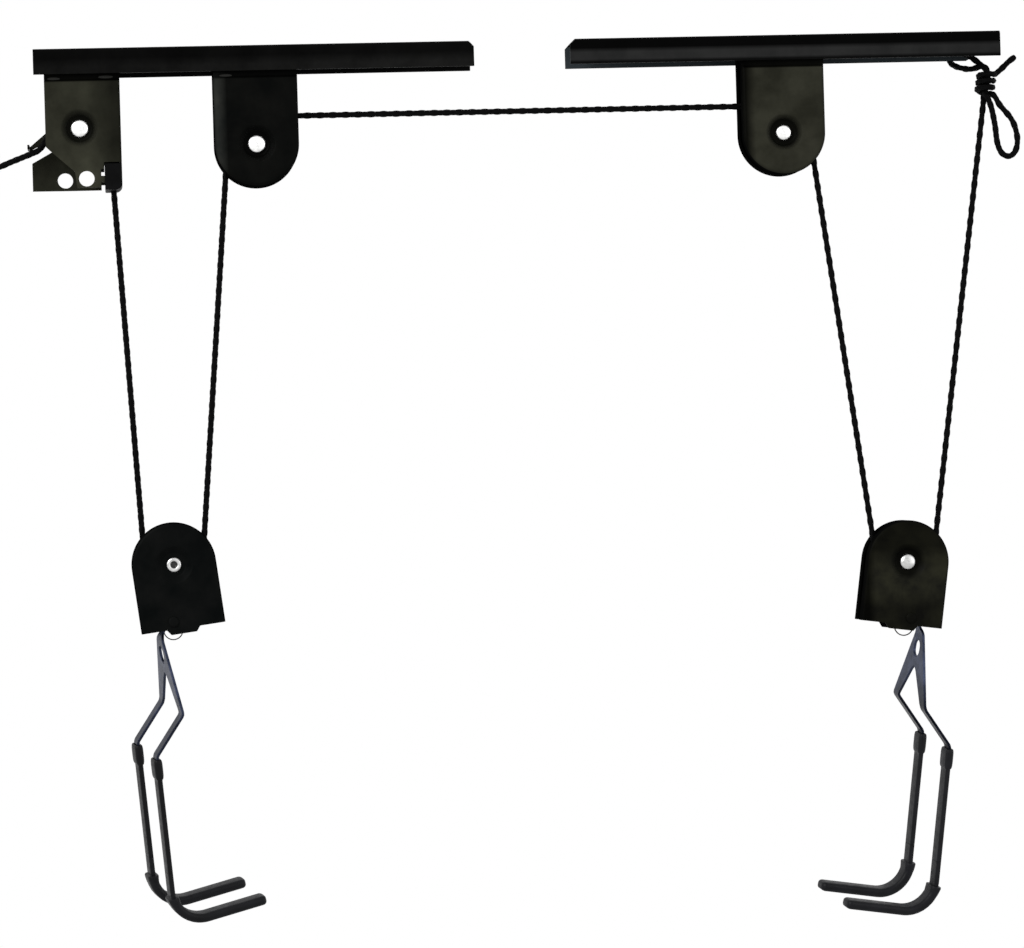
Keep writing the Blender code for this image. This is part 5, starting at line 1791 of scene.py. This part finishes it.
def makeFork(side, place, material):
    line = StripLine(hookPath())
    (s, low, high), *rows = forkRows(line)
    bm = bmesh.new()
    spot = line.at(s)[0]
    shares = (0.0, 0.10, 0.35, 0.65, 0.90, 1.0)
    verts = [bm.verts.new((spot.x, low + (high - low) * t, spot.y)) for t in shares]
    edges = [bm.edges.new(pair) for pair in zip(verts, verts[1:])]
    for s, inner, outer in rows:
        spot = line.at(s)[0]

        def moved(co, spot=spot, low=low, high=high, inner=inner, outer=outer):
            t = (co.y - low) / (high - low)
            return Vector((spot.x, inner + (outer - inner) * t, spot.y))

        edges = grow(bm, edges, moved)
        low, high = inner, outer
    geom = bm.verts[:] + bm.edges[:] + bm.faces[:]
    bmesh.ops.mirror(bm, geom=geom, axis="Y", merge_dist=0.000002)
    outward(bm)
    stretch(bm, x=mirrorOf[side])
    bmesh.ops.recalc_face_normals(bm, faces=bm.faces)
    piece = newPiece(f"{side}HookFork", bm)
    for finish in material:
        piece.data.materials.append(finish)
    thicken(piece, hook["sheet"], 0.0, 1)
    easeEdges(piece, hook["edge"], 3, 55)
    piece.data.transform(place)
    dress(piece, f"{side}_hook", "hook_steel", material, f"{side}_hook_fork")


def sleeveRing(wall):
    # The rounded outline round the arm, a wall thicker than it, as (across, out of the sheet)
    a = hook["armWidth"] / 2 + fit["gap"] + wall
    n = hook["sheet"] / 2 + fit["gap"] + wall
    r = min(n * 0.98, 0.0006 + wall * 1.1)
    count = sleeve["around"]
    points = []
    for cx, cn, start in ((a - r, n - r, 0), (r - a, n - r, 90), (r - a, r - n, 180), (a - r, r - n, 270)):
        points += arc(cx, cn, r, start, start + 90, count)
    return points


def makeSleeve(name, node, arm, stations, material, closed):
    # Sweeps rings of (distance along, wall, shrink) down one arm
    side, line, across, place = arm
    bm = bmesh.new()
    edges = None
    for s, wall, shrink in stations:
        spot, normal = line.at(s)
        ring = []
        for a, n in sleeveRing(wall):
            a, n = a * shrink, n * shrink
            ring.append((mirrorOf[side] * (spot.x + normal.x * n), across + a, spot.y + normal.y * n))
        if edges is None:
            order, edges = addLoop(bm, ring)
            firstEdges = edges
            continue
        made = bmesh.ops.extrude_edge_only(bm, edges=edges)["geom"]
        fresh = {item for item in made if isinstance(item, bmesh.types.BMVert)}
        follow = []
        for vert in order:  # the new point is the one joined to the old one
            ends = [edge.other_vert(vert) for edge in vert.link_edges]
            follow.append(next(other for other in ends if other in fresh))
        for vert, target in zip(follow, ring):
            vert.co = target
        edges = [e for e in made if isinstance(e, bmesh.types.BMEdge) and set(e.verts) <= fresh]
        order = follow
    if closed:
        bmesh.ops.contextual_create(bm, geom=edges)
        bmesh.ops.contextual_create(bm, geom=firstEdges)
    else:
        bmesh.ops.bridge_loops(bm, edges=firstEdges + edges)
    bmesh.ops.recalc_face_normals(bm, faces=bm.faces)
    piece = newPiece(name, bm, place)
    shadeByAngle(piece, 50)
    dress(piece, f"{side}_hook", "sleeve_vinyl", material, node)


def evenRun(start, end, count, wall):
    # Stations with one wall, at even steps
    return [(start + (end - start) * i / count, wall, 1) for i in range(count + 1)]


def sleeveStations(begin, end):
    # The thick collar, the thin sleeve down to its end, and back up inside along the arm
    collarEnd = begin + sleeve["collarLength"]
    stations = [(begin + away, sleeve["collarWall"] * share, 1) for away, share in sleeve["collarTop"]]
    stations += [(collarEnd + away, sleeve["collarWall"] * share, 1) for away, share in sleeve["collarFoot"]]
    count = round((end - collarEnd) / sleeve["step"])
    stations += evenRun(collarEnd + 0.0006, end, count, sleeve["wall"])
    return stations + evenRun(end, begin, 40, 0.0)[:-1]


def gripStations(corner, skirt, total):
    # Up inside along the arm, the thin skirt, the cuff with its lip, the grip and its round end
    thin, grip, turned = sleeve["wall"], sleeve["gripWall"], sleeve["endRound"]
    stations = evenRun(total - 0.001, corner - 0.001, 30, 0.0)[:29] + [(corner + 0.0004, 0.0, 1)]
    stations += evenRun(corner, skirt, round((skirt - corner) / sleeve["step"]), thin)[:-1]
    stations += [(skirt - 0.0004, thin, 1)]
    stations += [(skirt + away, sleeve["cuffWall"] * share, 1) for away, share in sleeve["cuffLip"]]
    stations += [(skirt + sleeve["cuffLength"], grip * 1.1, 1)]
    eased = skirt + sleeve["cuffLength"] + sleeve["cuffEase"]
    stations += evenRun(eased, total - turned, round((total - eased) / sleeve["gripStep"]), grip)
    for a in quarter(8)[:-1]:
        run = (sleeve["gripEnd"] + turned) * math.sin(a)
        stations.append((total - turned + run, grip, 0.45 + 0.55 * math.cos(a)))
    return stations + [(total + sleeve["gripEnd"], grip, 0.30)]


def makeHook(side):
    spot = pinPlace(side).translation
    turn = Euler(hook[f"{side}Turn"], "XYZ").to_matrix().to_4x4()
    place = Matrix.Translation((spot.x, 0.0, spot.z)) @ turn
    # The fork's face takes painted shade below the bend, and its edges a painted shaded copy of the steel
    steel = hookFinish(f"{side}HookSteel", 1.0, [hook[f"{side}Tone"]])
    makeFork(side, place, (steel, hookFinish(f"{side}HookEdgeShade", hook["edgeShade"])))
    line = StripLine(hookPath())
    begin = line.reach(hook["bendIn"][1], line.runs[hook["ringSteps"]]) + 0.002
    corner = line.total - (Vector(hook["tip"]) - Vector(hook["corner"])).length - sleeve["gripRun"]
    for where, across in (("Front", -hook["armSpacing"] / 2), ("Rear", hook["armSpacing"] / 2)):
        kind = where.lower()
        arm = (side, line, across, place)
        rows = sleeveStations(begin, corner - fit["gap"])
        makeSleeve(f"{side}{where}Sleeve", f"{side}_hook_{kind}_sleeve", arm, rows, sleeveVinyl[side], False)
        rows = gripStations(corner, corner + sleeve["skirt"][where], line.total)
        makeSleeve(f"{side}{where}Grip", f"{side}_hook_{kind}_grip", arm, rows, gripVinyl[side], True)


# The sleeves and grips are lit and shaded copies of one vinyl: the left ones darker, the right ones lighter
sleeveVinyl = {"left": vinylFinish("leftSleeveVinyl", 0.50), "right": vinylFinish("rightSleeveVinyl", 1.20)}
gripVinyl = {"left": vinylFinish("leftGripVinyl", 0.85), "right": vinylFinish("rightGripVinyl", 1.05)}
for side in ("left", "right"):
    makeHook(side)
print("hooks ready")

studio = {
    "floorZ": -2.4,
    "floorSize": 7.0,
    "floorColour": (0.86, 0.86, 0.86),
    "ambient": 0.62,
    "keyPower": 95.0,
    "keySize": 2.2,
    "keyPlace": Vector((-2.4, -2.6, 1.5)),
    "fillPower": 26.0,
    "fillSize": 2.5,
    "fillPlace": Vector((2.8, -2.2, 0.2)),
}


def areaLight(name, power, size, place):
    data = adjusted(bpy.data.lights.new(name, "AREA"), energy=power, size=size)
    aim = (view["lookAt"] - place).to_track_quat("-Z", "Y").to_euler()
    adjusted(linked(name, data), location=place, rotation_euler=aim)


def background(tree, strength):
    return addNode(tree, "ShaderNodeBackground", {"Color": (1.0, 1.0, 1.0, 1.0), "Strength": strength})


def makeWorld():
    world = bpy.data.worlds.new("studioWorld")
    scene.world = world
    world.use_nodes = True
    tree = world.node_tree
    tree.nodes.clear()
    path = addNode(tree, "ShaderNodeLightPath")
    seen = mathNode(tree, "MAXIMUM", path.outputs["Is Camera Ray"], path.outputs["Is Glossy Ray"])
    seen = mathNode(tree, "MAXIMUM", seen, path.outputs["Is Transmission Ray"])
    soft, white = background(tree, studio["ambient"]), background(tree, 1.0)
    mix = addNode(tree, "ShaderNodeMixShader")
    output = addNode(tree, "ShaderNodeOutputWorld")
    wire(tree, seen, mix.inputs["Fac"])
    wire(tree, soft.outputs["Background"], mix.inputs[1])
    wire(tree, white.outputs["Background"], mix.inputs[2])
    wire(tree, mix.outputs["Shader"], output.inputs["Surface"])


def makeFloor():
    bm = bmesh.new()
    bmesh.ops.create_grid(bm, x_segments=2, y_segments=2, size=studio["floorSize"] / 2)
    bmesh.ops.translate(bm, verts=bm.verts, vec=(0.0, 0.0, studio["floorZ"]))
    material, tree, shader = newFinish("paleFloor", 0.8, 0.0, 0.2)
    vector = patternPlace(tree)
    patches = noise(tree, vector, 1.2, 2.0)
    tone = studio["floorColour"]
    wire(tree, ramp(tree, patches, [(0.3, [c * 0.98 for c in tone]), (0.7, tone)]), shader.inputs["Base Color"])
    floor = newPiece("studioFloor", bm)
    floor.data.materials.append(material)


makeWorld()
makeFloor()
areaLight("keyLight", studio["keyPower"], studio["keySize"], studio["keyPlace"])
areaLight("fillLight", studio["fillPower"], studio["fillSize"], studio["fillPlace"])
scene.view_settings.view_transform = "Standard"
print("light ready")

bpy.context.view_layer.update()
